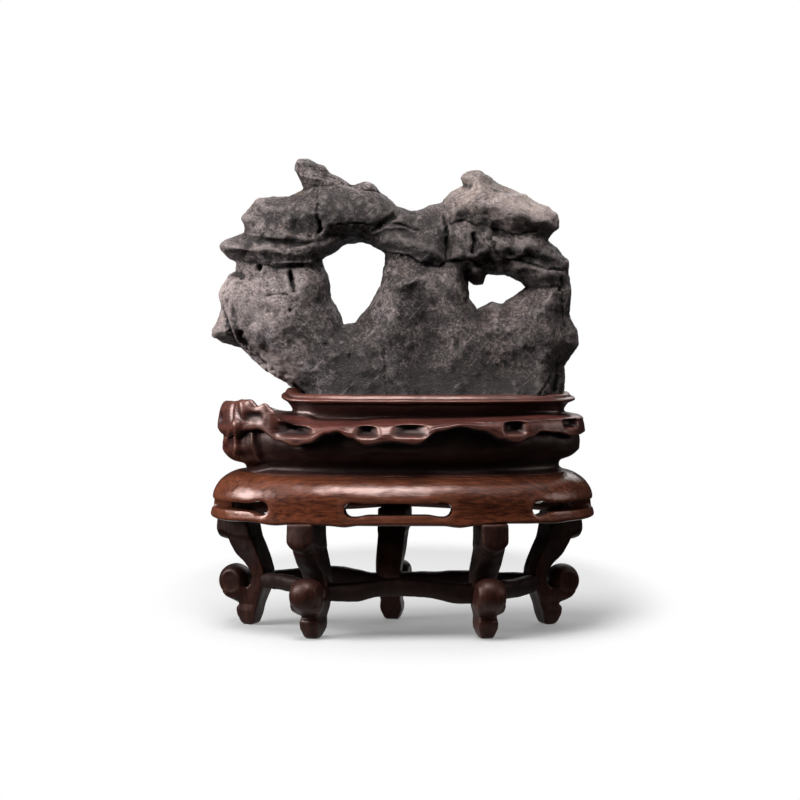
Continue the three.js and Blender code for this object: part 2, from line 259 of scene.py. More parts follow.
# Lengths are in mm. Lists in x and z are seen from the front.
stone = {
    "cell": 1.15,        # spacing of the points of the skin
    "base": 138.0,       # flat foot, inside the socket
    "gridCorner": (-124.0, -40.0),       # the skin is sought from here
    "gridSize": (236.0, 80.0, 150.0),
    "edge": 17,          # how far in from its outline the stone reaches full depth
    "coreFront": 19,     # depth of the stone's face where no mass stands on it
    "massBase": 17,      # depth that a mass rises from at its border
    "massBlend": 1.6,    # width of the join between two masses
    "relief": 0.85,      # share of the swells' height
    "coreBack": 19,
    # Rounded lumps of the back: size, height, seed.
    "backLumps": [((46, 30), 6, 3.0), ((17, 13), 1.8, 8.0)],
    "backSlope": (225, 50, 5),   # level where the back starts to draw in, over what height, how far
    # Small relief all over: wavelength, height, octaves, seed.
    "grain": [(26, 1.8, 3, 1), (8, 0.8, 4, 2), (2.8, 0.34, 3, 3)],
    "wander": (5, 4, 5, 0.9),    # wavelength, octaves, seed and reach of the cracks' waver
    "fineReach": 2.0,            # the skin is finer this near to cracks and ribs
    "frontOnly": 6,              # cracks, ribs and pits stay in front of this depth
    "outline": [
        (-62.5, 282), (-56, 281.5), (-46.5, 278), (-43.5, 274), (-37.5, 271), (-31, 267), (-22, 269),
        (-17.5, 267.5), (-13.5, 262), (-7.5, 257.5), (-2.5, 254), (5.5, 251.5), (15.5, 254), (23.5, 256),
        (29.5, 261.5), (37, 266), (34.5, 272), (40, 274.5), (46.5, 275.5), (51.5, 272.5), (59, 266.5),
        (70, 261), (77.5, 257), (85.5, 255), (92, 249.5), (94, 240.5), (86.5, 233.5), (93.5, 227),
        (99, 220), (98, 213), (101, 204.5), (99.5, 189.5), (104, 180.5), (105.5, 171), (100.5, 165),
        (97, 158), (97.5, 150), (95.5, 143), (94.5, 138), (94.5, 118), (-58, 118), (-58.5, 138),
        (-58.5, 143), (-67, 147), (-77.5, 154), (-88.5, 162.5), (-97.5, 169.5), (-108.5, 172),
        (-115, 176), (-115, 180), (-111.5, 186), (-108.5, 194), (-109, 201), (-104.5, 211), (-99.5, 215),
        (-99.5, 220), (-107, 227), (-108.5, 230.5), (-104, 234.5), (-94, 237), (-93.5, 242.5),
        (-94.5, 247), (-91, 251), (-85, 258), (-74.5, 259), (-67, 259.5), (-58.5, 264), (-60.5, 269.5),
        (-64, 275), (-64, 280),
    ],
    "windows": [
        [(-48.5, 222), (-41, 226.5), (-34, 231.5), (-25, 233), (-18.5, 231), (-11.5, 226), (-10.5, 219),
         (-14, 206.5), (-22, 191), (-28, 183.5), (-36, 182), (-37.5, 189), (-43.5, 199), (-44.5, 212.5)],
        [(38.5, 211), (43.5, 207.5), (47.5, 208), (50, 214), (61, 213), (70.5, 209.5), (74.5, 205.5),
         (67, 200.5), (59.5, 195.5), (52.5, 197), (44, 191.5), (39.5, 199)],
    ],
    # Each mass stands out from the core: how far, how wide its rounded border is, and its outline.
    "masses": {
        "beam": (22.5, 12, [
            (-91.5, 249.5), (-89.5, 242.5), (-84.5, 246), (-77.5, 246.5), (-71.5, 243.5), (-67, 240.5),
            (-61, 240.5), (-50.5, 238), (-34.5, 237.5), (-19.5, 238), (-13, 241), (-6.5, 245.5),
            (2, 249), (5.5, 258), (-7.5, 266), (-18.5, 266), (-34.5, 267), (-49.5, 265.5),
            (-60.5, 264.5), (-84.5, 272), (-102, 262)]),
        "horn": (19, 6, [
            (-62, 264), (-49.5, 265), (-34.5, 267.5), (-24.5, 266), (-31.5, 282), (-61.5, 292),
            (-74, 282), (-69, 272)]),
        "flake": (22, 4, [
            (-35.5, 267.5), (-28, 266.5), (-17, 264), (-4, 256), (-8.5, 275), (-31.5, 274)]),
        "stain": (20.5, 4, [
            (-97, 240), (-84.5, 245), (-77, 245.5), (-70, 241), (-61.5, 239.5), (-49.5, 237.5),
            (-44.5, 235), (-50.5, 232), (-61.5, 231), (-70.5, 232), (-78.5, 234), (-84.5, 232),
            (-97, 230)]),
        "ledge": (24, 8, [
            (-122, 231.5), (-112, 242), (-97.5, 239), (-90.5, 231), (-84.5, 233.5), (-78.5, 234.5),
            (-70.5, 233), (-61.5, 231), (-50.5, 233.5), (-43.5, 236.5), (-30, 239), (-33, 230),
            (-46.5, 225), (-54.5, 221), (-61.5, 220), (-75.5, 220), (-83, 224), (-91.5, 225),
            (-97.5, 221), (-112, 220)]),
        "face": (25.5, 13, [
            (-108.5, 206.5), (-102.5, 213), (-94, 214), (-84.5, 215.5), (-70.5, 214), (-61.5, 216.5),
            (-50.5, 219), (-40, 221), (-30, 215), (-22, 215), (-10.5, 224.5), (6.5, 222.5), (13, 218.5),
            (23, 219.5), (34, 221), (40, 212.5), (55, 205), (74.5, 207), (85.5, 207), (94.5, 207.5),
            (95, 198), (96.5, 183.5), (97.5, 171), (92.5, 155), (92, 110), (-61.5, 110), (-58.5, 144),
            (-79.5, 158.5), (-92, 169), (-96.5, 176.5), (-100.5, 185), (-104, 194.5)]),
        "band": (22.5, 9, [
            (-24, 233), (-10.5, 241), (-0.5, 241.5), (7, 238), (13.5, 242), (21.5, 248), (25.5, 241),
            (26, 221), (20, 220), (13, 218.5), (6.5, 222.5), (-18, 224)]),
        "block": (22, 6, [
            (27.5, 240.5), (33.5, 244), (37.5, 245), (44, 241), (52.5, 239), (54.5, 225.5), (46.5, 220),
            (34.5, 220), (27.5, 221.5)]),
        "saddle": (20.5, 8, [
            (-10, 262), (5.5, 262), (23.5, 262), (22.5, 249.5), (14, 243), (7, 239.5), (-0.5, 242),
            (-10, 242), (-6.5, 246)]),
        "summit": (25.5, 15, [
            (24.5, 255), (29.5, 267), (26, 285), (58.5, 290), (98, 270), (108, 249), (98, 237),
            (89.5, 235), (78.5, 239), (65.5, 236.5), (53, 240.5), (44, 242), (37.5, 245.5),
            (28.5, 243.5), (23, 248.5)]),
        "shelf": (24, 8, [
            (50, 239.5), (65.5, 236.5), (78.5, 238), (92, 236), (112, 221), (98.5, 218), (90.5, 219),
            (80, 222), (73, 224), (64.5, 222), (57.5, 222), (53, 225.5)]),
        "underShelf": (21.5, 6, [
            (33.5, 221), (46.5, 219.5), (57.5, 221.5), (64.5, 221.5), (73, 223), (80, 221.5),
            (90.5, 218.5), (108, 217), (108, 207), (85.5, 207), (75.5, 206.5), (61.5, 210), (49, 212),
            (39.5, 210)]),
        "pillar": (20.8, 6, [
            (95.5, 207.5), (110, 209), (112, 192), (120, 174), (110, 164), (98, 157), (93.5, 153.5),
            (97.5, 170.5), (97, 183.5), (95.5, 198)]),
        "toe": (22, 5, [
            (88.5, 143), (90.5, 149.5), (93.5, 153), (108, 156), (108, 120), (88.5, 120)]),
    },
    # Broad swellings and hollows: x, z, spread in x, spread in z, height.
    "swells": [
        (-80, 190, 18, 20, 2.2), (-58, 172, 12, 20, -2.4), (-8, 190, 11, 26, 2.6),
        (14, 176, 12, 26, -5.2), (38, 196, 14, 12, 2.4), (60, 178, 26, 14, 3.2), (58, 158, 14, 10, -3.0),
        (30, 154, 12, 12, 2.0), (84, 186, 12, 20, 1.6), (-30, 168, 12, 16, 1.6), (62, 254, 16, 9, 3.0),
        (84, 246, 9, 7, 2.2), (47, 268, 9, 6, -3.0), (-48, 252, 14, 8, 2.2), (-80, 252, 10, 6, 1.4),
        (44, 231, 5, 9, -3.4), (62, 229, 6, 6, -2.4), (12, 232, 12, 8, 1.6), (-52, 276, 12, 6, -3.0),
        (-96, 231, 8, 5, 1.5), (76, 150, 12, 9, 1.4), (16, 206, 14, 8, 1.8), (-10, 156, 16, 10, 1.5),
        (18, 134, 80, 12, 3.2),
    ],
    # Cracks and sharp grooves: half width, depth, points.
    "cracks": [
        (0.8, 1.4, [(23.5, 248.5), (26, 241.5)]),
        (0.8, 2.6, [(26, 241.5), (26.2, 231), (25.7, 221)]),
        (0.8, 1.5, [(-10.5, 226.5), (-4, 225.5), (5, 224), (11.5, 219.5), (21, 218), (27, 220.5),
                    (41, 221.5), (47, 218.5)]),
        (0.8, 2.0, [(94.5, 211), (95.5, 204.5), (95, 198), (96, 189.5), (97, 183.5)]),
        (0.7, 1.2, [(75.5, 205.5), (84, 206), (94, 206.5)]),
        (0.7, 1.6, [(61, 223), (72, 221), (80, 217.8), (90, 216.5), (98, 215.8)]),
        (0.8, 0.8, [(-50.3, 263), (-50, 250), (-50.3, 246)]),
        (0.9, 3.4, [(-49, 244.5), (-49, 239)]),
        (1.3, 4.0, [(-66, 214.5), (-64.8, 209), (-63.8, 204)]),
        (0.6, 0.7, [(-82.5, 200.5), (-74, 202), (-67.5, 201.5)]),
        (0.5, 0.5, [(-31, 179.5), (-31.6, 171), (-30.8, 163.5)]),
        (0.5, 0.5, [(-10.5, 170), (-11, 156), (-9.5, 146), (-9, 138)]),
        (1.0, 2.0, [(92.5, 159.5), (92, 152), (90.5, 144)]),
        (0.7, 1.4, [(81, 143), (86, 150), (90.5, 158.5)]),
        (0.7, 1.0, [(28.5, 243.5), (37.5, 245.5), (44, 242)]),
        (1.3, 2.6, [(42.3, 237), (42.8, 231.5), (41.5, 226.5)]),
        (0.7, 1.1, [(53, 241), (65.5, 237), (78.5, 238.8)]),
        (0.6, 0.9, [(-42, 242), (-26, 243.5), (-14, 241.5)]),
        (0.7, 1.7, [(-33, 266.8), (-24, 264.8), (-13.5, 262)]),
        (0.6, 0.9, [(-60, 264), (-47, 265.8), (-35, 267)]),
        (1.7, 2.8, [(-13.5, 242), (-9, 245.5), (-4.5, 248)]),
        (1.8, 2.0, [(-106, 191), (-103.2, 182), (-100.2, 174.5)]),
        (0.7, 1.2, [(-17, 239.5), (-10, 243.3), (0, 243.3), (9, 239.5)]),
        (1.4, 1.6, [(-96, 221), (-84, 220), (-72, 217), (-60, 218.5)]),
    ],
    # Raised ribs: half width, height, points.
    "ribs": [
        (2.0, 1.7, [(50.5, 239), (54, 225), (57.5, 222.5), (65, 223.5), (71, 227)]),
        (2.4, 1.5, [(-3.5, 206.5), (5, 209), (17.5, 212)]),
        (2.6, 1.6, [(15.5, 158), (25, 160), (33.5, 166), (37, 173)]),
        (1.4, 1.4, [(-67, 227), (-59, 228.5), (-51.5, 231.5)]),
        (1.2, 1.2, [(-75.5, 220.3), (-64, 221), (-54, 221)]),
        (1.7, 2.4, [(-101.5, 212), (-106, 206), (-103, 192), (-98.5, 177), (-88.5, 164), (-78.5, 156),
        (-66, 148)]),
        (1.2, 1.4, [(-62, 279.5), (-50, 277.5), (-41, 272.5), (-36, 268.5)]),
        (1.0, 0.9, [(-60, 272), (-52, 270), (-42, 267.8)]),
        (1.1, 1.0, [(-98, 237.5), (-84, 236.5), (-70, 235)]),
        (1.0, 0.8, [(-10, 228), (-4, 227), (5, 225.6), (11, 221)]),
        (1.0, 0.9, [(-17, 238), (-10, 241), (0, 241), (7, 238.5)]),
    ],
    # Paler and darker patches of the stone's own colour, with painted highlights on the left flank: x, z,
    # spread in x, spread in z, amount.
    "tonesAndPaintedLight": [
        (-86, 192, 24, 26, 0.46), (-70, 160, 30, 14, 0.16), (73, 252, 24, 12, 0.92),
        (38, 262, 17, 12, 0.42), (-34, 165, 17, 13, -0.32), (0, 236, 36, 16, -0.26),
        (-52, 252, 28, 9, -0.22), (-2, 185, 34, 30, -0.1), (20, 145, 74, 11, -0.75),
        (70, 170, 26, 30, -0.04), (88, 150, 10, 12, 0.14), (-16, 206, 8, 16, 0.14),
        # These four are painted highlights on the left flank and its lower edge.
        (-112, 178, 9, 12, 0.3), (-73, 156, 12, 7, 1.2), (-88, 163, 12, 6, 0.5), (-108, 204, 8, 12, 0.4),
    ],
    # Pits: x, z, radius, depth.
    "pits": [
        (-85.5, 217.5, 1.9, 5), (-95.5, 212.5, 1.7, 4), (-66.3, 213, 1.7, 4), (-66, 192.5, 1.1, 1.6),
        (-95.5, 179, 1.3, 2), (-45.5, 172.5, 1.6, 1.4), (-82, 236.5, 1.4, 1.4), (-55, 236, 1.8, 2),
        (94, 205, 1.4, 5),
    ],
}


def lineDistance(x, z, line):
    best = np.full(x.shape, 1e9)
    for (ax, az), (bx, bz) in zip(line[:-1], line[1:]):
        along = ((x - ax) * (bx - ax) + (z - az) * (bz - az)) / ((bx - ax) ** 2 + (bz - az) ** 2)
        along = np.clip(along, 0, 1)
        best = np.minimum(best, np.hypot(x - ax - along * (bx - ax), z - az - along * (bz - az)))
    return best


def insideDistance(x, z, loop):  # above 0 inside the loop
    closed = loop + loop[:1]
    inside = np.zeros(x.shape, bool)
    for (ax, az), (bx, bz) in zip(closed[:-1], closed[1:]):
        if az != bz:
            inside ^= ((az > z) != (bz > z)) & (x < ax + (z - az) * (bx - ax) / (bz - az))
    best = lineDistance(x, z, closed)
    return np.where(inside, best, -best)


def roundedRise(distance, width):  # rounds over from 0 at the border to 1
    t = 1 - np.clip(distance / width, 0, 1)
    return 1 - t * t


def softMax(a, b, reach):
    h = np.clip(0.5 + 0.5 * (a - b) / reach, 0, 1)
    return b + (a - b) * h + reach * h * (1 - h)


def mound(x, z, cx, cz, spreadX, spreadZ):  # 1 in the middle, fading outwards
    return np.exp(-((x - cx) / spreadX) ** 2 - ((z - cz) / spreadZ) ** 2)


def lumps(x, z, size, seed):  # rounded cells with creases between them
    flat = np.stack([x.ravel() / size[0] + seed, np.full(x.size, seed * 1.7), z.ravel() / size[1]], axis=1)
    gaps = []
    for point in flat:
        near = noise.voronoi(Vector(point), distance_metric="DISTANCE")[0]
        gaps.append(near[1] - near[0])
    return np.sqrt(np.clip(np.array(gaps), 0, 1)).reshape(x.shape)


def skinOf(field, low, cell):  # closed mesh where the field passes through 0
    inside = field > 0
    shape = np.array(field.shape) - 1
    total = np.zeros((int(shape.prod()), 3))
    count = np.zeros(int(shape.prod()))
    crossings = []
    for axis in range(3):
        ahead = [slice(None)] * 3
        behind = [slice(None)] * 3
        ahead[axis] = slice(1, None)
        behind[axis] = slice(None, -1)
        nodes = np.argwhere(inside[tuple(ahead)] != inside[tuple(behind)])
        step = np.eye(3, dtype=int)[axis]
        start = field[tuple(nodes.T)]
        end = field[tuple((nodes + step).T)]
        place = nodes + (start / (start - end))[:, None] * step
        sideA = np.eye(3, dtype=int)[(axis + 1) % 3]
        sideB = np.eye(3, dtype=int)[(axis + 2) % 3]
        around = [nodes, nodes - sideA, nodes - sideA - sideB, nodes - sideB]
        ids = [np.ravel_multi_index(tuple(cellNodes.T), tuple(shape)) for cellNodes in around]
        for cellIds in ids:
            for k in range(3):
                total[:, k] += np.bincount(cellIds, place[:, k], len(total))
            count += np.bincount(cellIds, minlength=len(count))
        crossings.append((np.stack(ids, axis=1), start > 0))
    used = np.flatnonzero(count)
    renumber = np.full(len(count), -1)
    renumber[used] = np.arange(len(used))
    points = low + cell * total[used] / count[used][:, None]
    faces = [np.where(outwards[:, None], ids, ids[:, ::-1]) for ids, outwards in crossings]
    return points, renumber[np.concatenate(faces)]


def fillPinches(field):  # so that the skin never meets itself along an edge
    justInside = 0.01
    rounds = 6
    for _ in range(rounds):
        for axis in range(3):
            flat = np.moveaxis(field, axis, 0)
            corners = [flat[:, :-1, :-1], flat[:, 1:, :-1], flat[:, 1:, 1:], flat[:, :-1, 1:]]
            a, b, c, d = (corner > 0 for corner in corners)
            pinched = (a & c & ~b & ~d) | (b & d & ~a & ~c)
            for corner in corners:
                corner[pinched] = np.maximum(corner[pinched], justInside)
    return field


def stoneField(setup):
    corner = np.array([*setup["gridCorner"], setup["base"] - 2 * setup["cell"]])
    counts = np.ceil(np.array(setup["gridSize"]) / setup["cell"]).astype(int)
    x, y, z = (corner[k] + setup["cell"] * np.arange(counts[k]) for k in range(3))
    flatX, flatZ = np.meshgrid(x, z, indexing="ij")

    inward = insideDistance(flatX, flatZ, setup["outline"])
    for window in setup["windows"]:
        inward = np.minimum(inward, -insideDistance(flatX, flatZ, window))
    front = np.full(flatX.shape, float(setup["coreFront"]))
    low = setup["massBase"]
    for depth, border, loop in setup["masses"].values():
        rise = roundedRise(insideDistance(flatX, flatZ, loop), border)
        front = softMax(front, low + (depth - low) * rise, setup["massBlend"])
    for *spot, height in setup["swells"]:
        front += setup["relief"] * height * mound(flatX, flatZ, *spot)
    back = np.full(flatX.shape, float(setup["coreBack"]))
    for size, height, seed in setup["backLumps"]:
        back += height * lumps(flatX, flatZ, size, seed)
    start, length, amount = setup["backSlope"]
    back -= amount * np.clip((flatZ - start) / length, 0, 1)

    fromEdge = 1 - np.clip(inward / setup["edge"], -9, 1)
    middle = ((back - front) / 2)[:, None, :]
    half = ((back + front) / 2)[:, None, :]
    across = (y[None, :, None] - middle) / half
    field = 1 - np.hypot(np.maximum(fromEdge, 0)[:, None, :], across)
    field = np.minimum(field, (z[None, None, :] - setup["base"]) / setup["edge"])
    return fillPinches(field), corner


def refineNear(piece, lines, reach):  # halves the edges near the lines, on the front only
    points = getPoints(piece)
    x, z = points[:, 0] / mm, points[:, 2] / mm
    near = np.min([lineDistance(x, z, line) for line in lines], axis=0)
    chosen = (near < reach) & (getNormals(piece)[:, 1] < -0.25)
    selectOnly(piece)
    bpy.ops.object.mode_set(mode="EDIT")
    bpy.ops.mesh.select_mode(type="VERT")
    bpy.ops.mesh.select_all(action="DESELECT")
    bpy.ops.object.mode_set(mode="OBJECT")
    piece.data.vertices.foreach_set("select", chosen)
    bpy.ops.object.mode_set(mode="EDIT")
    bpy.ops.mesh.subdivide(number_cuts=1)
    bpy.ops.object.mode_set(mode="OBJECT")


def freeOf(points, base):  # 0 at the flat foot, which stays as it is, and 1 from a few mm above it
    keep, fade = 0.6, 4
    return np.clip((points[:, 2] / mm - base - keep) / fade, 0, 1)


def makeStone(setup, material):
    field, corner = stoneField(setup)
    points, faces = skinOf(field, corner, setup["cell"])
    piece = makePiece("rock_stone", points * mm, faces.tolist())
    print("stone skin", len(points), "points")

    points = getPoints(piece)
    free = freeOf(points, setup["base"])
    normals = getNormals(piece)
    for size, height, octaves, seed in setup["grain"]:
        wave = fractalAt(points, size * mm, octaves, seed)
        points = points + normals * (wave * height * mm * free)[:, None]
    setPoints(piece, points)
    refineNear(piece, [line for _, _, line in setup["cracks"] + setup["ribs"]], setup["fineReach"])

    points = getPoints(piece)
    free = freeOf(points, setup["base"])
    normals = getNormals(piece)
    x, z = points[:, 0] / mm, points[:, 2] / mm
    facing = np.clip(-normals[:, 1] * 1.6, 0, 1) * (points[:, 1] < setup["frontOnly"] * mm)
    push = np.zeros(len(points))
    size, octaves, seed, reach = setup["wander"]
    wander = fractalAt(points, size * mm, octaves, seed) * reach
    for width, depth, line in setup["cracks"]:
        near = lineDistance(x + wander, z + wander, line)
        push -= depth * np.exp(-(near / width) ** 2)
    for width, height, line in setup["ribs"]:
        push += height * np.exp(-(lineDistance(x, z, line) / width) ** 2)
    for cx, cz, radius, depth in setup["pits"]:
        near = np.hypot(x - cx, z - cz) / radius
        push -= depth * np.exp(-near ** 4)
    points = points + normals * (push * facing * free * mm)[:, None]
    points[:, 2] = np.maximum(points[:, 2], setup["base"] * mm)
    setPoints(piece, points)

    addHollows(piece, 5, 0.4, soften=1)
    # Painted shade along the cracks, darker for deeper cracks.
    crackShade = np.zeros(len(points))
    blackDepth = 2.4  # a crack this deep gets the full painted shade
    for width, depth, line in setup["cracks"]:
        near = lineDistance(x + wander, z + wander, line)
        darkness = np.clip(depth / blackDepth, 0.3, 1)
        crackShade = np.maximum(crackShade, darkness * np.exp(-(near / (0.3 + 0.5 * width)) ** 2))
    saveAttribute(piece, "crackShade", crackShade * (facing > 0.2))
    # Paler and darker patches of the stone, with painted highlights on its left flank.
    tone = np.zeros(len(points))
    for *spot, amount in setup["tonesAndPaintedLight"]:
        tone += amount * mound(x, z, *spot)
    saveAttribute(piece, "tone", tone)
    finishPiece(piece, material, "stone", "rock")


stoneFinish = {
    "dark": (0.0135, 0.0082, 0.0074, 1),
    "grey": (0.218, 0.172, 0.165, 1),
    "pale": (0.42, 0.34, 0.32, 1),
    "blueCast": (0.7, 0.78, 0.92, 1),
    "warmCast": (1.0, 0.84, 0.74, 1),
    "tan": (0.2, 0.145, 0.11, 1),
    "rust": (0.17, 0.1, 0.055, 1),
    "scratch": (0.3, 0.25, 0.24, 1),     # and the veins
    # painted shade in creases
    "creaseShade": (0.0098, 0.0066, 0.006, 1),
    # painted highlight on raised edges
    "edge": (0.26, 0.215, 0.205, 1),
    # painted shade inside the cracks
    "crackShade": (0.004, 0.003, 0.003, 1),
    "speckle": (0.01, 0.008, 0.0075, 1),
    "brightness": 0.32,
    "shine": 0.32,
}


def stoneMaterial(finish):
    s = Shader("waxed grey stone")
    hollow = s.attribute("hollow")
    broad = s.cloud(28, 5, 0.6)
    patches = s.cloud(80, 6, 0.65, distortion=0.5)
    grit = s.cloud(650, 5, 0.75)
    speckle = s.cloud(1500, 3, 0.6)
    streaks = s.cloud(300, 4, 0.65, place=s.stretched((1.0, 1.0, 0.2), (0, 0.7, 0)))
    tone = (broad - 0.5) * 0.5 + (patches - 0.5) * 0.9 + (grit - 0.5) * 2.5 + (streaks - 0.5) * 0.9
    # The tone attribute adds the stone's own patches and painted highlights on the left flank.
    tone = tone + s.attribute("tone") * 0.95 + finish["brightness"]
    colour = s.blend(tone.between(0.05, 1.0), finish["dark"], finish["grey"])
    colour = s.blend(tone.between(0.7, 1.5) * 0.9, colour, finish["pale"])
    blue = s.cloud(36, 4, 0.6).between(0.55, 0.7)
    colour = s.blend(blue * 0.55, colour, finish["blueCast"], "MULTIPLY")
    split = s.node("ShaderNodeSeparateXYZ", {}, {"Vector": s.place})
    height = Wire(s, split.outputs["Z"])
    across = Wire(s, split.outputs["X"])
    tan = height.between(0.236, 0.252) * across.between(0.012, 0.045) * patches.between(0.3, 0.62)
    colour = s.blend(tan * 0.3, colour, finish["tan"])
    warm = across.between(0.01, 0.05) * (1 - height.between(0.19, 0.215)) * streaks.between(0.35, 0.65)
    colour = s.blend(warm * 0.5, colour, finish["warmCast"], "MULTIPLY")
    rust = s.cloud(60, 4, 0.6, distortion=0.8).between(0.58, 0.7) * height.between(0.2, 0.24)
    colour = s.blend(rust * 0.3, colour, finish["rust"])
    wander = s.node("ShaderNodeTexNoise", {}, {"Vector": s.place, "Scale": 60.0, "Detail": 3.0})
    shaken = s.node("ShaderNodeVectorMath", {"operation": "MULTIPLY_ADD"}, {
        0: wander.outputs["Color"], 1: (0.02, 0.02, 0.02), 2: s.place})
    veins = s.cellEdges(34, shaken.outputs[0])
    pale = (1 - veins.between(0.0, 0.03)) * grit.between(0.42, 0.6)
    colour = s.blend(pale * 0.08, colour, finish["scratch"])
    scratches = s.cloud(330, 2, 0.5, place=s.stretched((1.0, 1.0, 0.06), (0, -0.8, 0))).between(0.66, 0.72)
    colour = s.blend(scratches * 0.3, colour, finish["scratch"])
    # Painted shade in creases, from the hollow attribute.
    colour = s.blend(hollow.between(0.05, 0.7) * 0.85, colour, finish["creaseShade"])
    # Painted highlight on raised edges.
    colour = s.blend((0 - hollow).between(0.2, 1.0) * 0.35, colour, finish["edge"])
    # Painted shade inside the cracks.
    colour = s.blend(s.attribute("crackShade").between(0.1, 0.9) * 0.9, colour, finish["crackShade"])
    colour = s.blend(speckle.between(0.58, 0.68) * 0.5, colour, finish["speckle"])
    fine = s.bump(grit + speckle * 0.6 + streaks * 0.5, 1.0, 0.0017)
    normal = s.bump(patches, 0.4, 0.0025, normal=fine)
    rough = 0.44 + patches * 0.22 + hollow.between(0, 0.8) * 0.2
    s.surface.inputs["Specular IOR Level"].default_value = finish["shine"]
    return s.finish(Base_Color=colour, Roughness=rough, Normal=normal)


makeStone(stone, stoneMaterial(stoneFinish))
print("stone made")


woodFinish = {
    "pore": (0.005, 0.002, 0.0015, 1),
    # painted shade in creases
    "creaseShade": (0.004, 0.0015, 0.0015, 1),
    # painted highlight on raised edges
    "edge": (0.12, 0.045, 0.028, 1),
    # painted shade in the cups, under the lip, on the shins and over the stretchers
    "shade": (0.002, 0.0008, 0.0007, 1),
    "reflection": (1.0, 0.72, 0.67, 1),
    "grainStretch": 0.12,
}


def woodMaterial(name, along, dark, light, shine, rough):  # along is the axis that the grain follows
    s = Shader(name)
    scale = [1.0, 1.0, 1.0]
    scale[along] = woodFinish["grainStretch"]
    grainPlace = s.stretched(tuple(scale))
    bands = s.cloud(90, 5, 0.6, place=grainPlace, distortion=0.6)
    streaks = s.cloud(750, 4, 0.7, place=grainPlace)
    pores = s.cloud(1500, 3, 0.6, place=grainPlace)
    clouds = s.cloud(14, 3, 0.5)
    ripples = s.cloud(70, 2, 0.5, place=s.stretched((0.8, 1.0, 0.8)))
    hollow = s.attribute("hollow")
    tone = (bands - 0.5) * 0.6 + (streaks - 0.5) * 1.5 + (clouds - 0.5) * 0.7 + 0.46
    colour = s.blend(tone.between(0.1, 0.9), dark, light)
    colour = s.blend(pores.between(0.54, 0.64) * 0.6, colour, woodFinish["pore"])
    # Painted shade in creases, from the hollow attribute.
    colour = s.blend(hollow.between(0.05, 0.8) * 0.75, colour, woodFinish["creaseShade"])
    # Painted highlight on raised edges.
    colour = s.blend((0 - hollow).between(0.2, 0.9) * 0.2, colour, woodFinish["edge"])
    shade = s.attribute("shade")
    # Painted shade in the cups, under the lip, on the shins and over the stretchers.
    colour = s.blend(shade, colour, woodFinish["shade"])
    fine = s.bump(pores * 0.4 + streaks * 0.6, 0.3, 0.0004)
    normal = s.bump(ripples, 0.3, 0.004, normal=fine)
    s.surface.inputs["Specular IOR Level"].default_value = shine
    s.surface.inputs["Specular Tint"].default_value = woodFinish["reflection"]
    return s.finish(Base_Color=colour, Roughness=rough + streaks * 0.16 + shade * 0.2, Normal=normal)


tableWood = woodMaterial("polished hardwood, lying grain", along=0, dark=(0.015, 0.0045, 0.0028, 1),
                         light=(0.122, 0.032, 0.0135, 1), shine=0.42, rough=0.16)
seatWood = woodMaterial("polished hardwood, carved", along=0, dark=(0.01, 0.0028, 0.0024, 1),
                        light=(0.08, 0.021, 0.0155, 1), shine=0.55, rough=0.27)
legWood = woodMaterial("polished hardwood, upright grain", along=2, dark=(0.005, 0.0017, 0.0013, 1),
                       light=(0.034, 0.0098, 0.006, 1), shine=0.2, rough=0.32)


def splineWeights(count, steps, closed=False):  # rows of samples, columns of the given points
    weights = []
    for k in range(count if closed else count - 1):
        for t in np.arange(steps[k]) / steps[k]:
            row = np.zeros(count)
            share = (-0.5 * t + t * t - 0.5 * t ** 3, 1 - 2.5 * t * t + 1.5 * t ** 3,
                     0.5 * t + 2 * t * t - 1.5 * t ** 3, -0.5 * t * t + 0.5 * t ** 3)
            for offset, amount in zip((-1, 0, 1, 2), share):
                at = (k + offset) % count if closed else min(max(k + offset, 0), count - 1)
                row[at] += amount
            weights.append(row)
    if not closed:
        weights.append(np.eye(count)[-1])
    return np.array(weights)


def aroundValues(pairs, angles):  # smooth closed curve through (degrees, value) pairs
    pairs = sorted((degrees % 360, value) for degrees, value in pairs)
    known = np.array([p[0] for p in pairs] + [pairs[0][0] + 360])
    values = np.array([p[1] for p in pairs] + [pairs[0][1]])
    place = np.where(angles < known[0], angles + 360, angles)
    k = np.clip(np.searchsorted(known, place, side="right") - 1, 0, len(pairs) - 1)
    t = (place - known[k]) / (known[k + 1] - known[k])
    t = eased(t)
    return values[k] * (1 - t) + values[k + 1] * t


def ovalOutline(half, depth, squareness, shift, angles):  # points and outward directions, in mm
    def at(degrees):
        c, s = np.cos(np.radians(degrees)), np.sin(np.radians(degrees))
        x = half * np.sign(c) * np.abs(c) ** (2 / squareness) + shift
        y = depth * np.sign(s) * np.abs(s) ** (2 / squareness)
        return np.stack([x, y], axis=-1)
    ahead = at(angles + 0.7) - at(angles - 0.7)
    outwards = np.stack([ahead[..., 1], -ahead[..., 0]], axis=-1)
    return at(angles), outwards / np.linalg.norm(outwards, axis=-1, keepdims=True)


def rolledGrid(name, around, along):  # a grid whose first side meets its last
    clearSelection()
    bpy.ops.mesh.primitive_grid_add(x_subdivisions=around, y_subdivisions=along - 1, size=1)
    piece = bpy.context.object
    piece.name = name
    piece.data.name = name
    points = getPoints(piece)
    turn = np.round((points[:, 0] + 0.5) * around).astype(int) % around
    row = np.round((points[:, 1] + 0.5) * (along - 1)).astype(int)
    return piece, turn, row


def ringNormals(surface):  # of a rolled grid, away from its inside
    aroundStep = np.roll(surface, -1, axis=0) - np.roll(surface, 1, axis=0)
    normals = np.cross(np.gradient(surface, axis=1), aroundStep)
    return normals / np.maximum(np.linalg.norm(normals, axis=2, keepdims=True), 1e-9)


def closeRolled(piece):
    editAll(piece)
    bpy.ops.mesh.remove_doubles(threshold=0.01 * mm)
    bpy.ops.mesh.fill_holes(sides=0)
    bpy.ops.mesh.select_all(action="SELECT")
    bpy.ops.mesh.normals_make_consistent(inside=False)
    bpy.ops.object.mode_set(mode="OBJECT")


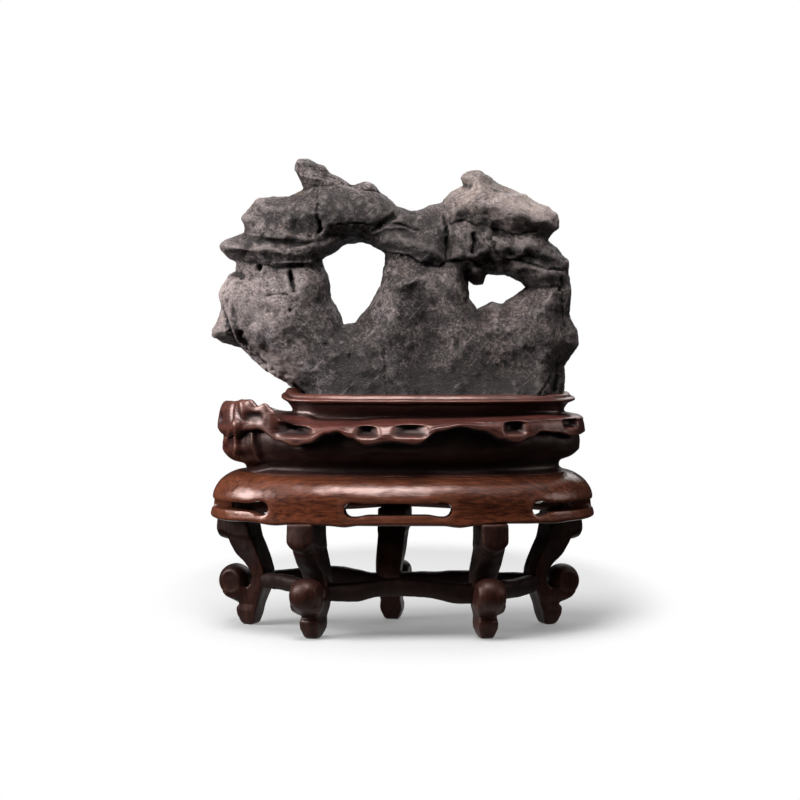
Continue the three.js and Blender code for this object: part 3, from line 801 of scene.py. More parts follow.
# Profile rows: share of the collar's outline, inset, height, share of the leaf's rise,
# share of the lip's wavy edge, and steps to the next row.
seat = {
    "around": 720,
    # Ovals: half length, half depth, squareness, shift to the right.
    "rim": (88, 37, 3.0, 15.5),
    "collar": (110, 57, 2.3, 0),
    "profile": [
        (0, 20, 137.7, 0, 0, 2), (0, 11.6, 137.7, 0, 0, 1), (0, 11.2, 138.2, 0, 0, 3),
        (0, 11.0, 141.8, 0, 0, 1), (0, 10.2, 142.5, 0, 0, 2), (0, 6.8, 142.8, 0, 0, 2),
        (0, 3.9, 142.3, 0, 0, 2), (0, 3.0, 141.3, 0, 0, 2), (0, 2.4, 140.5, 0, 0, 2),
        (0, 1.2, 140.1, 0, 0, 2), (0, 0.2, 139.5, 0, 0, 1), (0, 0.1, 138.7, 0, 0, 2),
        (0, 1.4, 137.9, 0, 0, 3), (0, 4.2, 136.6, 0, 0, 4), (0, 6.3, 133.8, 0, 0, 3),
        (0, 6.5, 132.0, 0, 0, 3), (0, 5.2, 130.6, 0, 0, 3), (0.1, 2, 129.8, 0, 0, 4),
        (0.35, 0, 129.2, 0, 0, 4), (0.6, 0, 128.5, 0.08, 0.04, 4), (0.78, 0, 127.7, 0.5, 0.12, 4),
        (0.88, 0.4, 126.9, 0.92, 0.24, 4), (0.95, 0.5, 126.0, 0.96, 0.42, 4),
        (0.99, 0.4, 124.8, 0.7, 0.66, 4), (1, 0.2, 123.4, 0.25, 0.86, 3), (1, 0, 122, 0, 1, 1),
        (1, 0.5, 121.6, 0, 1, 2), (1, 2.6, 122.4, 0, 1, 2), (1, 5.4, 122.8, 0, 1, 3),
        (1, 7.4, 120.2, 0, 0.9, 4), (1, 7.6, 116, 0, 0.55, 4), (1, 8.6, 112, 0, 0.25, 4),
        (1, 10.4, 108.4, 0, 0, 4), (1, 12.4, 105.4, 0, 0, 4), (1, 14.6, 103.0, 0, 0, 4),
        (1, 16.2, 100.6, 0, 0, 4), (1, 15.8, 98.2, 0, 0, 3), (1, 13.0, 96.4, 0, 0, 2),
        (1, 11.2, 95.6, 0, 0, 1), (1, 16, 95.5, 0, 0, 1),
    ],
    # Height of the lip's lower edge at each angle; 270 is the middle of the front.
    "edge": [
        (0, 120), (12, 116.5), (24, 122), (36, 116), (50, 123), (60, 115.5), (70, 122), (80, 116.5),
        (93, 124.5), (104, 115.5), (115, 121), (124, 116), (135, 122.5), (146, 116), (158, 121.5),
        (168, 120), (178, 122), (189, 122), (200, 122), (210.4, 122.7), (222, 123.4), (231.8, 117.1),
        (238.3, 114.2), (243.1, 116), (249.5, 122), (252.8, 123.2), (257, 119.5), (261.3, 115.5),
        (267.7, 117.6), (272.7, 115.9), (278.7, 123.4), (284.7, 126.0), (292.2, 123.7), (299.4, 118.3),
        (304.6, 116.2), (310.3, 119), (315.5, 122.3), (323.5, 121.3), (336, 118.3), (347, 119.6),
    ],
    # The collar's upper side lies lower at the left of the front.
    "sag": [(0, 0), (180, 0), (215, 0), (232, -2.6), (250, -2.4), (262, -1.4), (275, -0.8), (290, 0),
    (310, 0.8), (335, 0)],
    # How far the collar's crest stands up at each angle.
    "rise": [
        (0, 0), (60, 0.4), (110, 0.6), (132, 2), (142, 6.5), (149, 3.5), (157, 9), (166, 7), (176, 11),
        (190, 12.2), (204, 12.6), (214.5, 13.8), (219, 10.4), (223.5, 13.2), (227, 11), (230, 6),
        (234, 2), (241, 0), (300, 0), (340, 0.6),
    ],
    # The leaf's own insets at the rows of the profile.
    "leafInset": [(19, 3.0), (20, 2.2), (21, 1.6), (22, 0.9), (23, 0.2), (24, -0.6), (25, -0.9), (26, -0.5),
                  (27, 0.3), (28, 1.2), (29, 2.0), (30, 1.9), (31, 1.6), (32, 4.2), (33, 8.0)],
    "lipLevel": 122,                # height of the lip in the profile
    "lobeLevels": (116, 124),       # edge heights between which the lip draws back
    # Angles, and how much of the leaf is there.
    "leafAngles": ([150, 172, 208, 221], [0, 1, 1, 0]),
    "curl": (180, 28, 2.6),         # the rim's upturned left tip: degrees, reach, height
    # Rows of the profile, and what is added at each.
    "betweenLobes": ([19, 21, 28, 30], [0, 1.2, 1.2, 0]),     # the lip draws back between its lobes
    "endFullness": ([28, 29, 30, 31, 32, 33, 34], [0, 3.2, 3.8, 4.8, 6.2, 4.2, 0]),
    "leafDrop": ([25, 26, 27, 28, 29], [0, 0.6, 2.8, 4.2, 2.6]),
    # Rows of the profile, and how strongly each takes part.
    "leafRows": ([18, 20, 33, 34], [0, 1, 1, 0]),
    "sagRows": ([13, 16, 22, 24], [0, 1, 1, 0]),
    "lipRows": ([19, 20.6, 24.2, 25], [0, 1, 1, 0]),          # where the cups lie
    "underRows": ([28, 29.5, 32, 34], [0, 1, 1, 0]),          # the uneven swelling under the lip
    "recessShadeRows": ([25.2, 26.5, 36, 38], [0, 0.7, 0.7, 0]),   # painted shade under the lip
    # Cupped hollows of the lip: degrees, height, spread along, spread up, depth.
    "cups": [
        (219.3, 130.2, 5.4, 2.4, 1.8), (237.6, 123.8, 9.6, 3.8, 8.5), (261.4, 123.6, 5.8, 3.6, 7),
        (271.6, 123.5, 8.6, 3.3, 6.5), (304.0, 124.6, 6.0, 3.4, 6.8), (335.2, 126.2, 6.0, 2.9, 5.6),
        (12, 122, 5, 3, 3), (36, 122, 5, 3, 3), (60, 122, 6, 3, 3), (80, 122.5, 5, 3, 3),
        (104, 122, 5, 3, 3), (124, 122, 6, 3, 3), (146, 124, 5, 3, 3), (168, 126, 5, 3.5, 3),
        (190, 127, 5, 3.5, 2.6),
    ],
    # Folds seen from the front: half width, height, points in x and z.
    "folds": [
        (0.9, -0.6, [(-99.5, 138), (-100.6, 133), (-100, 126.5)]),
        (1.7, 2.0, [(-98, 127), (-101.5, 120), (-104, 113.7)]),
        (1.7, 2.4, [(-96.5, 125), (-97.6, 117), (-97.8, 107)]),
        (1.8, 1.6, [(-88, 120), (-88, 114), (-84, 105)]),
        (1.8, 1.2, [(-94.8, 138), (-93.5, 132)]),
    ],
    # Swellings under the lip: degrees, height, spread along, spread up, amount.
    "knobs": [(284.1, 118.1, 4.5, 3.4, 2.4), (251, 112, 6, 4, 1.8), (268, 109, 8, 4, 1.6),
              (296, 110, 7, 4, 2.0), (320, 112, 6, 4, 2.0), (238, 108.5, 7, 3, 1.6)],
}


def planDistance(surface, angles, outline, degrees):  # to the outline's point at this angle
    away = np.abs((angles - degrees + 180) % 360 - 180)
    along = np.hypot(*(surface[..., :2] - outline[np.argmin(away)]).transpose(2, 0, 1))
    return np.where(away[:, None] < 25, along, 99)


def makeSeat(setup, material):
    stations = np.array(setup["profile"], float)
    weights = splineWeights(len(stations), stations[:, 5].astype(int))
    around, along = setup["around"], len(weights)
    piece, turn, row = rolledGrid("seat_carved", around, along)
    angles = np.arange(around) * 360 / around
    rimPoint, rimOut = ovalOutline(*setup["rim"], angles)
    collarPoint, collarOut = ovalOutline(*setup["collar"], angles)
    edge = aroundValues(setup["edge"], angles)
    rise = aroundValues(setup["rise"], angles)
    lowEdge, highEdge = setup["lobeLevels"]
    high = np.clip((edge - lowEdge) / (highEdge - lowEdge), 0, 1)

    share, inset, height, riseShare, edgeShare = (stations[None, :, k] for k in range(5))
    level = height + riseShare * rise[:, None] + edgeShare * (edge[:, None] - setup["lipLevel"])
    index = np.arange(len(stations))
    inset = inset + high[:, None] * np.interp(index, *setup["betweenLobes"])
    ends = np.abs(np.cos(np.radians(angles)))[:, None] ** 3
    inset = inset - ends * np.interp(index, *setup["endFullness"])
    leaf = np.interp(angles, *setup["leafAngles"])[:, None]
    blend = leaf * np.interp(index, *setup["leafRows"])
    inset = inset * (1 - blend) + blend * np.interp(index, *np.array(setup["leafInset"]).T)
    level = level - leaf * np.interp(index, *setup["leafDrop"])
    sag = aroundValues(setup["sag"], angles)
    level = level + sag[:, None] * np.interp(index, *setup["sagRows"])
    atRim = rimPoint[:, None, :] - rimOut[:, None, :] * inset[..., None]
    atCollar = collarPoint[:, None, :] - collarOut[:, None, :] * inset[..., None]
    flat = atRim * (1 - share[..., None]) + atCollar * share[..., None]
    corners = np.concatenate([flat, level[..., None]], axis=2)
    surface = np.einsum("ms,asc->amc", weights, corners)

    degrees, reach, amount = setup["curl"]
    curl = np.clip(1 - (angles[:, None] - degrees) ** 2 / reach ** 2, 0, 1) ** 2
    onRim = np.clip((surface[..., 2] - 136) / 5, 0, 1) * (weights @ (stations[:, 0] < 0.05))[None, :]
    surface[..., 2] += amount * curl * onRim

    place = weights @ index  # row of the profile that each ring belongs to
    lip = np.interp(place, *setup["lipRows"])[None, :]
    normals = ringNormals(surface)
    push = np.zeros(surface.shape[:2])
    shade = np.zeros(surface.shape[:2])
    for degrees, level, spreadAlong, spreadUp, amount in setup["cups"]:
        along = planDistance(surface, angles, collarPoint, degrees)
        cup = np.exp(-(along / spreadAlong) ** 4 - ((surface[..., 2] - level) / spreadUp) ** 4) * lip
        # Painted shade inside the cups.
        shade = np.maximum(shade, cup)
        surface[..., :2] -= collarOut[:, None, :] * (amount * cup)[..., None]
    for degrees, level, spreadAlong, spreadUp, amount in setup["knobs"]:
        along = planDistance(surface, angles, collarPoint, degrees)
        knob = np.exp(-(along / spreadAlong) ** 2 - ((surface[..., 2] - level) / spreadUp) ** 2)
        push += amount * knob * (place > 28)[None, :]
    leftEnd = (surface[..., 1] < 12) & (surface[..., 0] < -60) & (place > 20)[None, :]
    for width, amount, line in setup["folds"]:
        near = lineDistance(surface[..., 0], surface[..., 2], line)
        push += amount * np.exp(-(near / width) ** 2) * leftEnd
    # Painted shade under the lip, except at the leaf.
    recessShade = (1 - leaf) * np.interp(place, *setup["recessShadeRows"])[None, :]
    shade = np.maximum(shade, recessShade)
    flat = surface.reshape(-1, 3) * mm
    under = np.interp(place, *setup["underRows"])[None, :]
    push += fractalAt(flat * (1, 1, 0.5), 17 * mm, 2, 11).reshape(push.shape) * 1.2 * under
    push += fractalAt(flat, 24 * mm, 2, 12).reshape(push.shape) * 0.3
    surface += normals * push[..., None]
    setPoints(piece, surface[turn, row] * mm)
    saveAttribute(piece, "shade", shade[turn, row])
    closeRolled(piece)
    addHollows(piece, 6, 0.3)
    finishPiece(piece, material, "carved_wood", "rock_seat")


makeSeat(seat, seatWood)
print("seat made")


table = {
    "around": 720,
    "outline": (115.2, 60, 2.3, 0),
    # Inset, height, share of the wavy lower edge, steps.
    "profile": [
        (60, 94.6, 0, 1), (27, 95.2, 0, 2), (20, 95.9, 0, 3), (16, 95.9, 0, 4), (10.8, 93.9, 0, 4),
        (6.0, 90.4, 0, 4), (2.9, 86.2, 0, 4), (1.5, 82.6, 0, 3), (1.1, 79.6, 0, 4), (0.9, 76.2, 0, 3),
        (0.7, 73.6, 0.2, 2), (0.4, 71.8, 0.5, 2), (0.1, 70.2, 0.8, 2), (0.3, 69.0, 1, 2),
        (1.6, 68.2, 1, 2), (4, 68.0, 1, 3), (8, 68.0, 1, 3), (11, 68.4, 1, 1), (11.8, 69.4, 0.8, 2),
        (12, 73, 0, 6), (12, 83, 0, 2), (13.5, 84.5, 0, 2), (20, 84.6, 0, 1), (60, 84.6, 0, 1),
    ],
    # Height added to the apron's lower edge at each angle.
    "wave": [
        (0, 0.6), (25, -0.6), (60, 0.4), (75, -0.7), (90, 0.5), (105, -0.9), (122, -1.4), (138, -1.6),
        (155, -0.8), (180, 0.6), (205, 0), (222, 0.4), (232, -0.8), (240, 0.2), (251, -0.4),
        (255.5, -1.1), (260, 0), (270, 0.1), (279, 0), (284, -1.1), (289, -0.2), (298, 0.6), (310, 0.2),
        (318, -0.4), (330, 0.3),
    ],
    "softWidth": 1.2,     # the wood rounds over this near to a slot
    "softDepth": 0.45,
    # Slots: first and last degrees, then the low and high edge at the middle and at the ends.
    "slots": [
        (255.6, 281.8, 74.0, 81.2, 72.8, 81.6), (308.6, 365, 74.6, 79.8, 72.6, 81.4),
        (38, 70, 73.2, 81, 72.4, 81.6), (110, 142, 73.2, 81, 72.4, 81.6),
        (175, 229.6, 74.6, 79.8, 72.6, 81.4),
    ],
}


fineAngles = np.arange(-90, 450.01, 0.25)


def outlineLength(outline, angles):  # mm along the outline
    points, _ = ovalOutline(*outline, fineAngles)
    steps = np.linalg.norm(np.diff(points, axis=0), axis=1)
    length = np.concatenate([[0], np.cumsum(steps)])
    return np.interp(angles, fineAngles, length)


def slotEdges(along, half, shape):  # low and high edge at a distance from the middle
    middleLow, middleHigh, endLow, endHigh = shape
    flareStart, flareLength = 15, 9  # mm from the slot's end
    end = eased(np.clip((np.abs(along) - half + flareStart) / flareLength, 0, 1))
    return middleLow + (endLow - middleLow) * end, middleHigh + (endHigh - middleHigh) * end


def slotSpan(outline, slot):  # where it starts along the outline, and half its length
    start, stop = outlineLength(outline, np.array(slot[:2], float))
    return start, (stop - start) / 2


def slotDistance(outline, slot, angles, height):  # above 0 inside the slot
    start, half = slotSpan(outline, slot)
    along = np.minimum(np.abs(outlineLength(outline, angles) - start - half),
                       np.abs(outlineLength(outline, angles + 360 * (angles < 90)) - start - half))
    low, high = slotEdges(along, half, slot[2:])
    reach = (high - low) / 2
    return reach - np.hypot(np.maximum(along - half + reach, 0), height - (high + low) / 2)


def slotCutter(outline, slot):
    start, half = slotSpan(outline, slot)
    endLow, endHigh = slot[4:]
    reach = (endHigh - endLow) / 2
    level = (endHigh + endLow) / 2
    straight = np.linspace(-half + reach, half - reach, 61)
    low, high = slotEdges(straight, half, slot[2:])
    bend = np.radians(np.linspace(78, -78, 13))
    rightEnd = np.column_stack([half - reach + reach * np.cos(bend), level + reach * np.sin(bend)])
    leftEnd = np.column_stack([-half + reach - reach * np.cos(bend), level - reach * np.sin(bend)])
    loop = np.concatenate([np.column_stack([straight, high]), rightEnd,
                           np.column_stack([straight, low])[::-1], leftEnd])
    angles = np.interp(loop[:, 0] + start + half, outlineLength(outline, fineAngles), fineAngles)
    onOutline, outwards = ovalOutline(*outline, angles)
    count = len(loop)
    cutInwards, cutOutwards = 16, 5
    inner = np.column_stack([onOutline - outwards * cutInwards, loop[:, 1]])
    outer = np.column_stack([onOutline + outwards * cutOutwards, loop[:, 1]])
    faces = [(k, (k + 1) % count, count + (k + 1) % count, count + k) for k in range(count)]
    faces += [tuple(range(count)), tuple(range(2 * count - 1, count - 1, -1))]
    cutter = makePiece("cutter", np.concatenate([inner, outer]) * mm, faces)
    editAll(cutter)
    bpy.ops.mesh.quads_convert_to_tris()
    bpy.ops.mesh.normals_make_consistent(inside=False)
    bpy.ops.object.mode_set(mode="OBJECT")
    return cutter


def dropSlivers(piece):  # thin leftovers of the cuts, and pairs of faces that lie on each other
    editAll(piece)
    bpy.ops.mesh.quads_convert_to_tris()
    bpy.ops.mesh.dissolve_degenerate(threshold=0.02 * mm)
    bpy.ops.mesh.remove_doubles(threshold=0.005 * mm)
    bpy.ops.mesh.quads_convert_to_tris()
    bpy.ops.mesh.select_all(action="DESELECT")
    bpy.ops.mesh.select_mode(type="FACE")
    bpy.ops.object.mode_set(mode="OBJECT")
    corners = [tuple(sorted(face.vertices)) for face in piece.data.polygons]
    seen = Counter(corners)
    piece.data.polygons.foreach_set("select", [seen[key] > 1 for key in corners])
    bpy.ops.object.mode_set(mode="EDIT")
    bpy.ops.mesh.delete(type="FACE")
    bpy.ops.object.mode_set(mode="OBJECT")


def makeTable(setup, material):
    stations = np.array(setup["profile"], float)
    weights = splineWeights(len(stations), stations[:, 3].astype(int))
    around, along = setup["around"], len(weights)
    piece, turn, row = rolledGrid("table_carved", around, along)
    angles = np.arange(around) * 360 / around
    outline, outwards = ovalOutline(*setup["outline"], angles)
    wave = aroundValues(setup["wave"], angles)
    inset, height, waveShare = (weights @ stations[:, k] for k in range(3))
    level = height[None, :] + waveShare[None, :] * wave[:, None]
    outside = (np.arange(along) < np.argmin(height) + 2) & (inset < 4)
    distance = np.max([slotDistance(setup["outline"], slot, angles[:, None] + 0 * level, level)
                       for slot in setup["slots"]], axis=0)
    rounding = np.clip(1 + distance / setup["softWidth"], 0, 1) ** 2 * setup["softDepth"] * outside[None, :]
    drawn = inset[None, :] + rounding
    flat = outline[:, None, :] - outwards[:, None, :] * drawn[..., None]
    surface = np.concatenate([flat, level[..., None]], axis=2)
    setPoints(piece, surface[turn, row] * mm)
    closeRolled(piece)
    for slot in setup["slots"]:
        cutter = slotCutter(setup["outline"], slot)
        applyModifier(piece, "BOOLEAN", operation="DIFFERENCE", object=cutter, solver="EXACT")
        bpy.data.objects.remove(cutter)
    dropSlivers(piece)
    unevenSize, unevenHeight = 16 * mm, 0.22
    normals = getNormals(piece)
    points = getPoints(piece)
    push = fractalAt(points * (0.4, 0.4, 1), unevenSize, 2, 21) * unevenHeight
    setPoints(piece, points + normals * (push * mm)[:, None])
    addHollows(piece, 6, 0.35)
    finishPiece(piece, material, "carved_wood", "table_top")
    selectOnly(piece)
    bpy.ops.object.shade_smooth_by_angle(angle=math.radians(40))


makeTable(table, tableWood)
print("table made")


# The profile lies in the leg's own plane: how far outwards from the foot, and height.
leg = {
    "outline": [
        (-4.6, 0), (-6.6, 1), (-8.6, 9), (-11.4, 17.6), (-14.6, 24.5), (-15.8, 29), (-15.1, 34.5),
        (-13.1, 39.5), (-9.1, 48), (-6, 54), (-4.4, 60.6), (-4, 69), (17.5, 69), (18.2, 62), (18.6, 56.5),
        (17.6, 53), (15, 51.6), (11.9, 51.4), (10, 48.4), (5.3, 43), (-0.8, 38.4), (-4.8, 33.6),
        (-6.1, 29.5), (-5.0, 26), (-2, 23), (6, 25), (13.5, 19.8), (11, 17), (7.5, 14.8), (3.8, 12.8),
        (6.4, 10.6), (5.8, 6), (3.6, 1.4), (1.6, 0),
    ],
    "halfThickness": 8.4,
    "scroll": (7.7, 26.4),
    "scrollRadius": 10.2,
    "scrollHalf": 9.6,
    "skin": 0.55,                        # spacing of the points of the skin
    # Depth and radius of the scroll's dished cheeks, then height, radius and width of their rims.
    "dish": (1.1, 5.2, 0.35, 7.2, 1.6),
    "lappet": (51.4, 0.9),               # level of its lower edge, and how far it stands out
    "groove": (50.2, 0.5),               # level and depth
    # Height, and half the thickness there.
    "thickness": [(0, 3.8), (2, 4.9), (6, 6.7), (8.5, 6.9), (13, 6.3), (18, 7.4), (30, 7.6), (40, 8.2),
                  (51, 8.4), (53.5, 8.9), (70, 9.0)],
    # Foot's place, the way it faces, and how far its top is moved outwards and sideways.
    "feet": {
        "leg_front_left": (-53.5, -41, -111, -2.6, -1.8),
        "leg_front_right": (49.5, -41, -78, -1.6, 1.4),
        "leg_right": (90.5, 20, 25, 0, 0),
        "leg_rear": (-5.4, 42.5, 76, -1.5, 0),
        "leg_left": (-94.5, 20, 155, -0.6, 0),
    },
}


def bluntness(a, b):  # swells a round section to a slightly square one
    return (np.abs(a) ** 2.5 + np.abs(b) ** 2.5) ** (-1 / 2.5)


def makeLegShape(setup):
    outline = np.array(setup["outline"]) * mm
    count = len(outline)
    thick = setup["halfThickness"] * mm
    shape = makePiece("leg_shape", [(r, -thick, z) for r, z in outline], [tuple(range(count))])
    editAll(shape)
    bpy.ops.mesh.extrude_region_move(TRANSFORM_OT_translate={"value": (0, 2 * thick, 0)})
    bpy.ops.mesh.select_all(action="SELECT")
    bpy.ops.mesh.normals_make_consistent(inside=False)
    bpy.ops.object.mode_set(mode="OBJECT")
    clearSelection()
    r, z = setup["scroll"]
    bpy.ops.mesh.primitive_uv_sphere_add(segments=48, ring_count=32, radius=1, location=(0, 0, 0))
    ball = bpy.context.object
    points = getPoints(ball)
    flat = np.hypot(points[:, 0], points[:, 2])
    radii = (setup["scrollRadius"], setup["scrollHalf"], setup["scrollRadius"])
    points = points * bluntness(flat, points[:, 1])[:, None] * radii
    setPoints(ball, (points + (r, 0, z)) * mm)
    applyModifier(shape, "BOOLEAN", operation="UNION", object=ball, solver="EXACT")
    bpy.data.objects.remove(ball)
    applyModifier(shape, "REMESH", mode="VOXEL", voxel_size=setup["skin"] * mm)
    applyModifier(shape, "SMOOTH", factor=0.5, iterations=30)

    points = getPoints(shape) / mm
    across = points[:, 1] / setup["halfThickness"]
    away = np.hypot(points[:, 0] - r, points[:, 2] - z)
    levels, halves = np.array(setup["thickness"]).T
    # The lower edge of the top part hangs lowest in its middle.
    step = points[:, 2] - 2.4 * np.clip(np.abs(across) - 0.35, 0, 1) * (points[:, 2] > 44)
    half = np.interp(step, levels, halves)
    onBall = np.clip((setup["scrollRadius"] + 2.5 - away) / 3, 0, 1) * np.clip((points[:, 0] + 2) / 4, 0, 1)
    scale = (half / setup["halfThickness"]) * (1 - onBall) + onBall
    back = np.interp(points[:, 2], [0, 30, 45, 51, 69], [-4, -12, -2, 4, 6])
    front = np.clip((points[:, 0] - back) / 10, 0, 1)
    crown = 1 - 0.1 * front * (1 - onBall)
    points[:, 1] *= scale * crown
    bowed = front * (1 - onBall) * across ** 2
    points[:, 0] -= 1.6 * bowed
    points[:, 2] += 3.2 * bowed * np.interp(points[:, 2], [45, 50, 54, 62], [0, 1, 1, 0])
    cheek = np.clip((np.abs(points[:, 1]) - 5) / 3, 0, 1)
    depth, radius, rimHeight, rimRadius, rimWidth = setup["dish"]
    dish = np.exp(-(away / radius) ** 4) * depth - np.exp(-((away - rimRadius) / rimWidth) ** 2) * rimHeight
    points[:, 1] -= np.sign(points[:, 1]) * dish * cheek
    lappetLevel, lappetOut = setup["lappet"]
    grooveLevel, grooveDepth = setup["groove"]
    lappet = np.clip((step - lappetLevel) / 1.2, 0, 1) * np.clip((points[:, 0] - 4) / 4, 0, 1)
    groove = np.exp(-((step - grooveLevel) / 1.6) ** 2)
    points[:, 0] += lappetOut * lappet - grooveDepth * front * groove
    setPoints(shape, points * mm)
    applyModifier(shape, "SMOOTH", factor=0.5, iterations=1)
    return shape


def makeLegs(setup, material):
    shape = makeLegShape(setup)
    rest = getPoints(shape)
    for name, (x, y, facing, lean, sway) in setup["feet"].items():
        piece = shape.copy()
        piece.data = shape.data.copy()
        piece.name = name + "_carved"
        piece.data.name = piece.name
        bpy.context.scene.collection.objects.link(piece)
        c, s = math.cos(math.radians(facing)), math.sin(math.radians(facing))
        level = rest[:, 2] / mm
        rise = eased(np.clip((level - 34) / 20, 0, 1)) * mm
        out = rest[:, 0] + lean * rise
        side = rest[:, 1] + sway * rise
        placed = np.column_stack([out * c - side * s + x * mm, out * s + side * c + y * mm, rest[:, 2]])
        setPoints(piece, placed)
        normals = getNormals(piece)
        push = fractalAt(placed * (1, 1, 0.5), 9 * mm, 2, 31) * 0.28 * mm
        push *= np.clip(placed[:, 2] / (2 * mm), 0, 1)
        setPoints(piece, placed + normals * push[:, None])
        # Painted shade on the shins and on the lappet tops.
        shinShade = 0.75 * np.exp(-((level - 44) / 9) ** 2) * (rest[:, 0] > -9 * mm)
        saveAttribute(piece, "shade", np.maximum(shinShade, 0.4 * (level > 50)))
        addHollows(piece, 6, 0.3)
        finishPiece(piece, material, "leg_wood", name)
    bpy.data.objects.remove(shape)


makeLegs(leg, legWood)
print("legs made")


# Points along each bar: x, y, z, half width, half height.
stretchers = {
    "stretcher_front": [
        (-50, -31, 26.2, 4.8, 5.6), (-40, -32, 26.2, 4.6, 5.5), (-28, -33.5, 26.4, 4.5, 5.4),
        (-17, -34.5, 28.4, 4.3, 5.1), (-4, -35.5, 29.7, 4.1, 5.3), (9, -35.5, 29.2, 4.2, 5.4),
        (20, -34.5, 27.8, 4.5, 5.6), (30, -33, 26.2, 4.7, 6.1), (40, -32, 25.4, 4.7, 6.1),
        (48, -31, 25.4, 4.5, 5.8)],
    "stretcher_right": [
        (47, -31, 26.2, 4.4, 5.2), (56, -22, 26.0, 4.5, 5.3), (64, -13, 25.6, 4.6, 5.6),
        (72, -2, 25.6, 4.8, 5.8), (77, 7, 26.0, 4.8, 5.2), (81, 15.6, 26.4, 4.0, 4.8)],
    "stretcher_rear_right": [
        (81, 15.6, 26.0, 4.2, 5.0), (66, 22, 25.8, 4.4, 5.4), (48, 27.5, 25.6, 4.6, 5.8),
        (30, 31, 25.0, 4.6, 5.9), (12, 32.5, 24.8, 4.4, 5.4), (-8, 32.3, 25.4, 4.2, 4.8)],
    "stretcher_rear_left": [
        (-8, 32.3, 24.8, 4.2, 4.8), (-20, 31.5, 24.8, 4.4, 5.2), (-34, 29, 27.2, 4.6, 6.2),
        (-50, 26, 28.2, 4.6, 6.3), (-68, 21.5, 28.0, 4.4, 5.4), (-85, 15.6, 27.4, 4.2, 4.8)],
    "stretcher_left": [
        (-85, 15.6, 27.4, 4.0, 3.6), (-81, 8, 28.2, 4.6, 4.7), (-73, -4, 28.8, 4.4, 4.6),
        (-64, -16, 28.6, 4.2, 4.4), (-56, -25, 27.6, 4.2, 4.5), (-50, -31, 27, 4.2, 4.4)],
}


def makeStretcher(name, stations, material):
    stations = np.array(stations, float)
    weights = splineWeights(len(stations), [16] * (len(stations) - 1))
    around, along = 36, len(weights)
    piece, turn, row = rolledGrid(name + "_carved", around, along)
    line = weights @ stations
    ahead = np.gradient(line[:, :3], axis=0)
    side = np.column_stack([-ahead[:, 1], ahead[:, 0], np.zeros(along)])
    side /= np.linalg.norm(side, axis=1, keepdims=True)
    up = np.cross(ahead, side)
    up /= np.linalg.norm(up, axis=1, keepdims=True)
    angles = np.radians(np.arange(around) * 360 / around)
    c, s = np.cos(angles), np.sin(angles)
    ring = np.stack([c, s]) * bluntness(c, s)
    surface = (line[None, :, :3] + ring[0][:, None, None] * side[None] * line[None, :, 3:4]
               + ring[1][:, None, None] * up[None] * line[None, :, 4:5])
    setPoints(piece, surface[turn, row] * mm)
    closeRolled(piece)
    points = getPoints(piece)
    normals = getNormals(piece)
    push = fractalAt(points * (0.7, 0.7, 1), 10 * mm, 3, 41) * 0.6 * mm
    setPoints(piece, points + normals * push[:, None])
    # Painted shade over the whole stretcher.
    saveAttribute(piece, "shade", np.full(len(points), 0.85))
    addHollows(piece, 4, 0.3)
    finishPiece(piece, material, "leg_wood", name)


for stretcherName, stretcherStations in stretchers.items():
    makeStretcher(stretcherName, stretcherStations, legWood)
print("stretchers made")


studio = {
    "floor": 1.4,
    "shadowCentre": (0.005, 0.16),    # the floor fades into the white ground around this place
    "shadowSpread": (0.17, 0.3),
    # Each lamp's place, size and power.
    "lamps": {
        "key": ((-0.12, -0.36, 1.0), 0.4, 15),
        "dome": ((0.0, 0.0, 1.3), 1.8, 14),
        "left": ((-0.9, -0.22, 0.56), 0.5, 22),
        "right": ((1.2, -0.3, 0.6), 0.5, 4),
        "back": ((0.35, 1.1, 0.9), 0.8, 6),
    },
    "sweep": 0.22,           # a little light from the floor itself, as from a lit sweep
    "aim": (0, 0, 0.14),
    "ambient": 0.02,
}


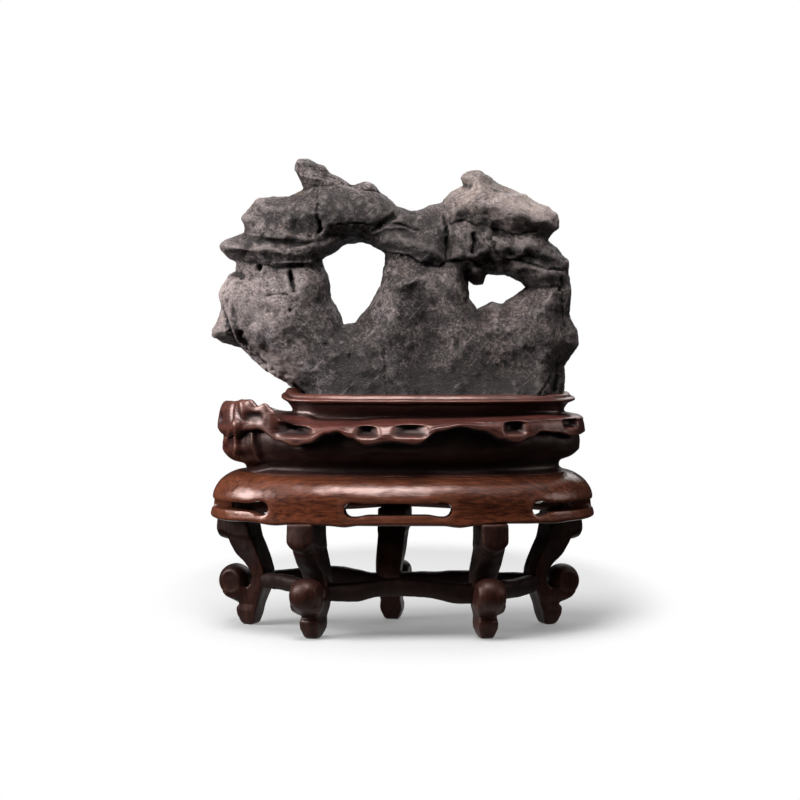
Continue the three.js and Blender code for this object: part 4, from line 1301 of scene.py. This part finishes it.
def makeStudio(setup):
    clearSelection()
    bpy.ops.mesh.primitive_circle_add(vertices=96, radius=setup["floor"], fill_type="NGON")
    floor = bpy.context.object
    floor.name = "floor"
    s = Shader("pale studio floor")
    (x, y), (spreadX, spreadY) = setup["shadowCentre"], setup["shadowSpread"]
    around = s.node("ShaderNodeMapping", {}, {
        "Vector": s.place, "Location": (-x / spreadX, -y / spreadY, 0),
        "Scale": (1 / spreadX, 1 / spreadY, 1)})
    away = s.node("ShaderNodeVectorMath", {"operation": "LENGTH"}, {0: around.outputs[0]}).outputs["Value"]
    clear = 1 - Wire(s, away).between(0.75, 1.05)
    s.surface.inputs["Specular IOR Level"].default_value = 0.1
    s.surface.inputs["Roughness"].default_value = 0.8
    s.surface.inputs["Base Color"].default_value = (0.25, 0.25, 0.25, 1)
    s.surface.inputs["Emission Color"].default_value = (1, 1, 1, 1)
    s.surface.inputs["Emission Strength"].default_value = setup["sweep"]
    floor.data.materials.append(s.finish(Alpha=clear))
    for name, (place, size, power) in setup["lamps"].items():
        lamp = bpy.data.lights.new(name, "AREA")
        lamp.shape = "SQUARE"
        lamp.size = size
        lamp.energy = power
        holder = bpy.data.objects.new(name, lamp)
        holder.location = place
        aim = Vector(setup["aim"]) - holder.location
        holder.rotation_euler = aim.to_track_quat("-Z", "Y").to_euler()
        bpy.context.scene.collection.objects.link(holder)
    world = bpy.data.worlds.new("studio")
    bpy.context.scene.world = world
    world.use_nodes = True
    tree = world.node_tree
    ambient = tree.nodes["Background"]
    ambient.inputs["Color"].default_value = (1, 1, 1, 1)
    ambient.inputs["Strength"].default_value = setup["ambient"]
    backdrop = tree.nodes.new("ShaderNodeBackground")
    backdrop.inputs["Color"].default_value = (1, 1, 1, 1)
    seen = tree.nodes.new("ShaderNodeLightPath")
    choose = tree.nodes.new("ShaderNodeMixShader")
    tree.links.new(seen.outputs["Is Camera Ray"], choose.inputs[0])
    tree.links.new(ambient.outputs[0], choose.inputs[1])
    tree.links.new(backdrop.outputs[0], choose.inputs[2])
    tree.links.new(choose.outputs[0], tree.nodes["World Output"].inputs["Surface"])
    bpy.context.scene.view_settings.view_transform = "Standard"


makeStudio(studio)
print("studio lit")
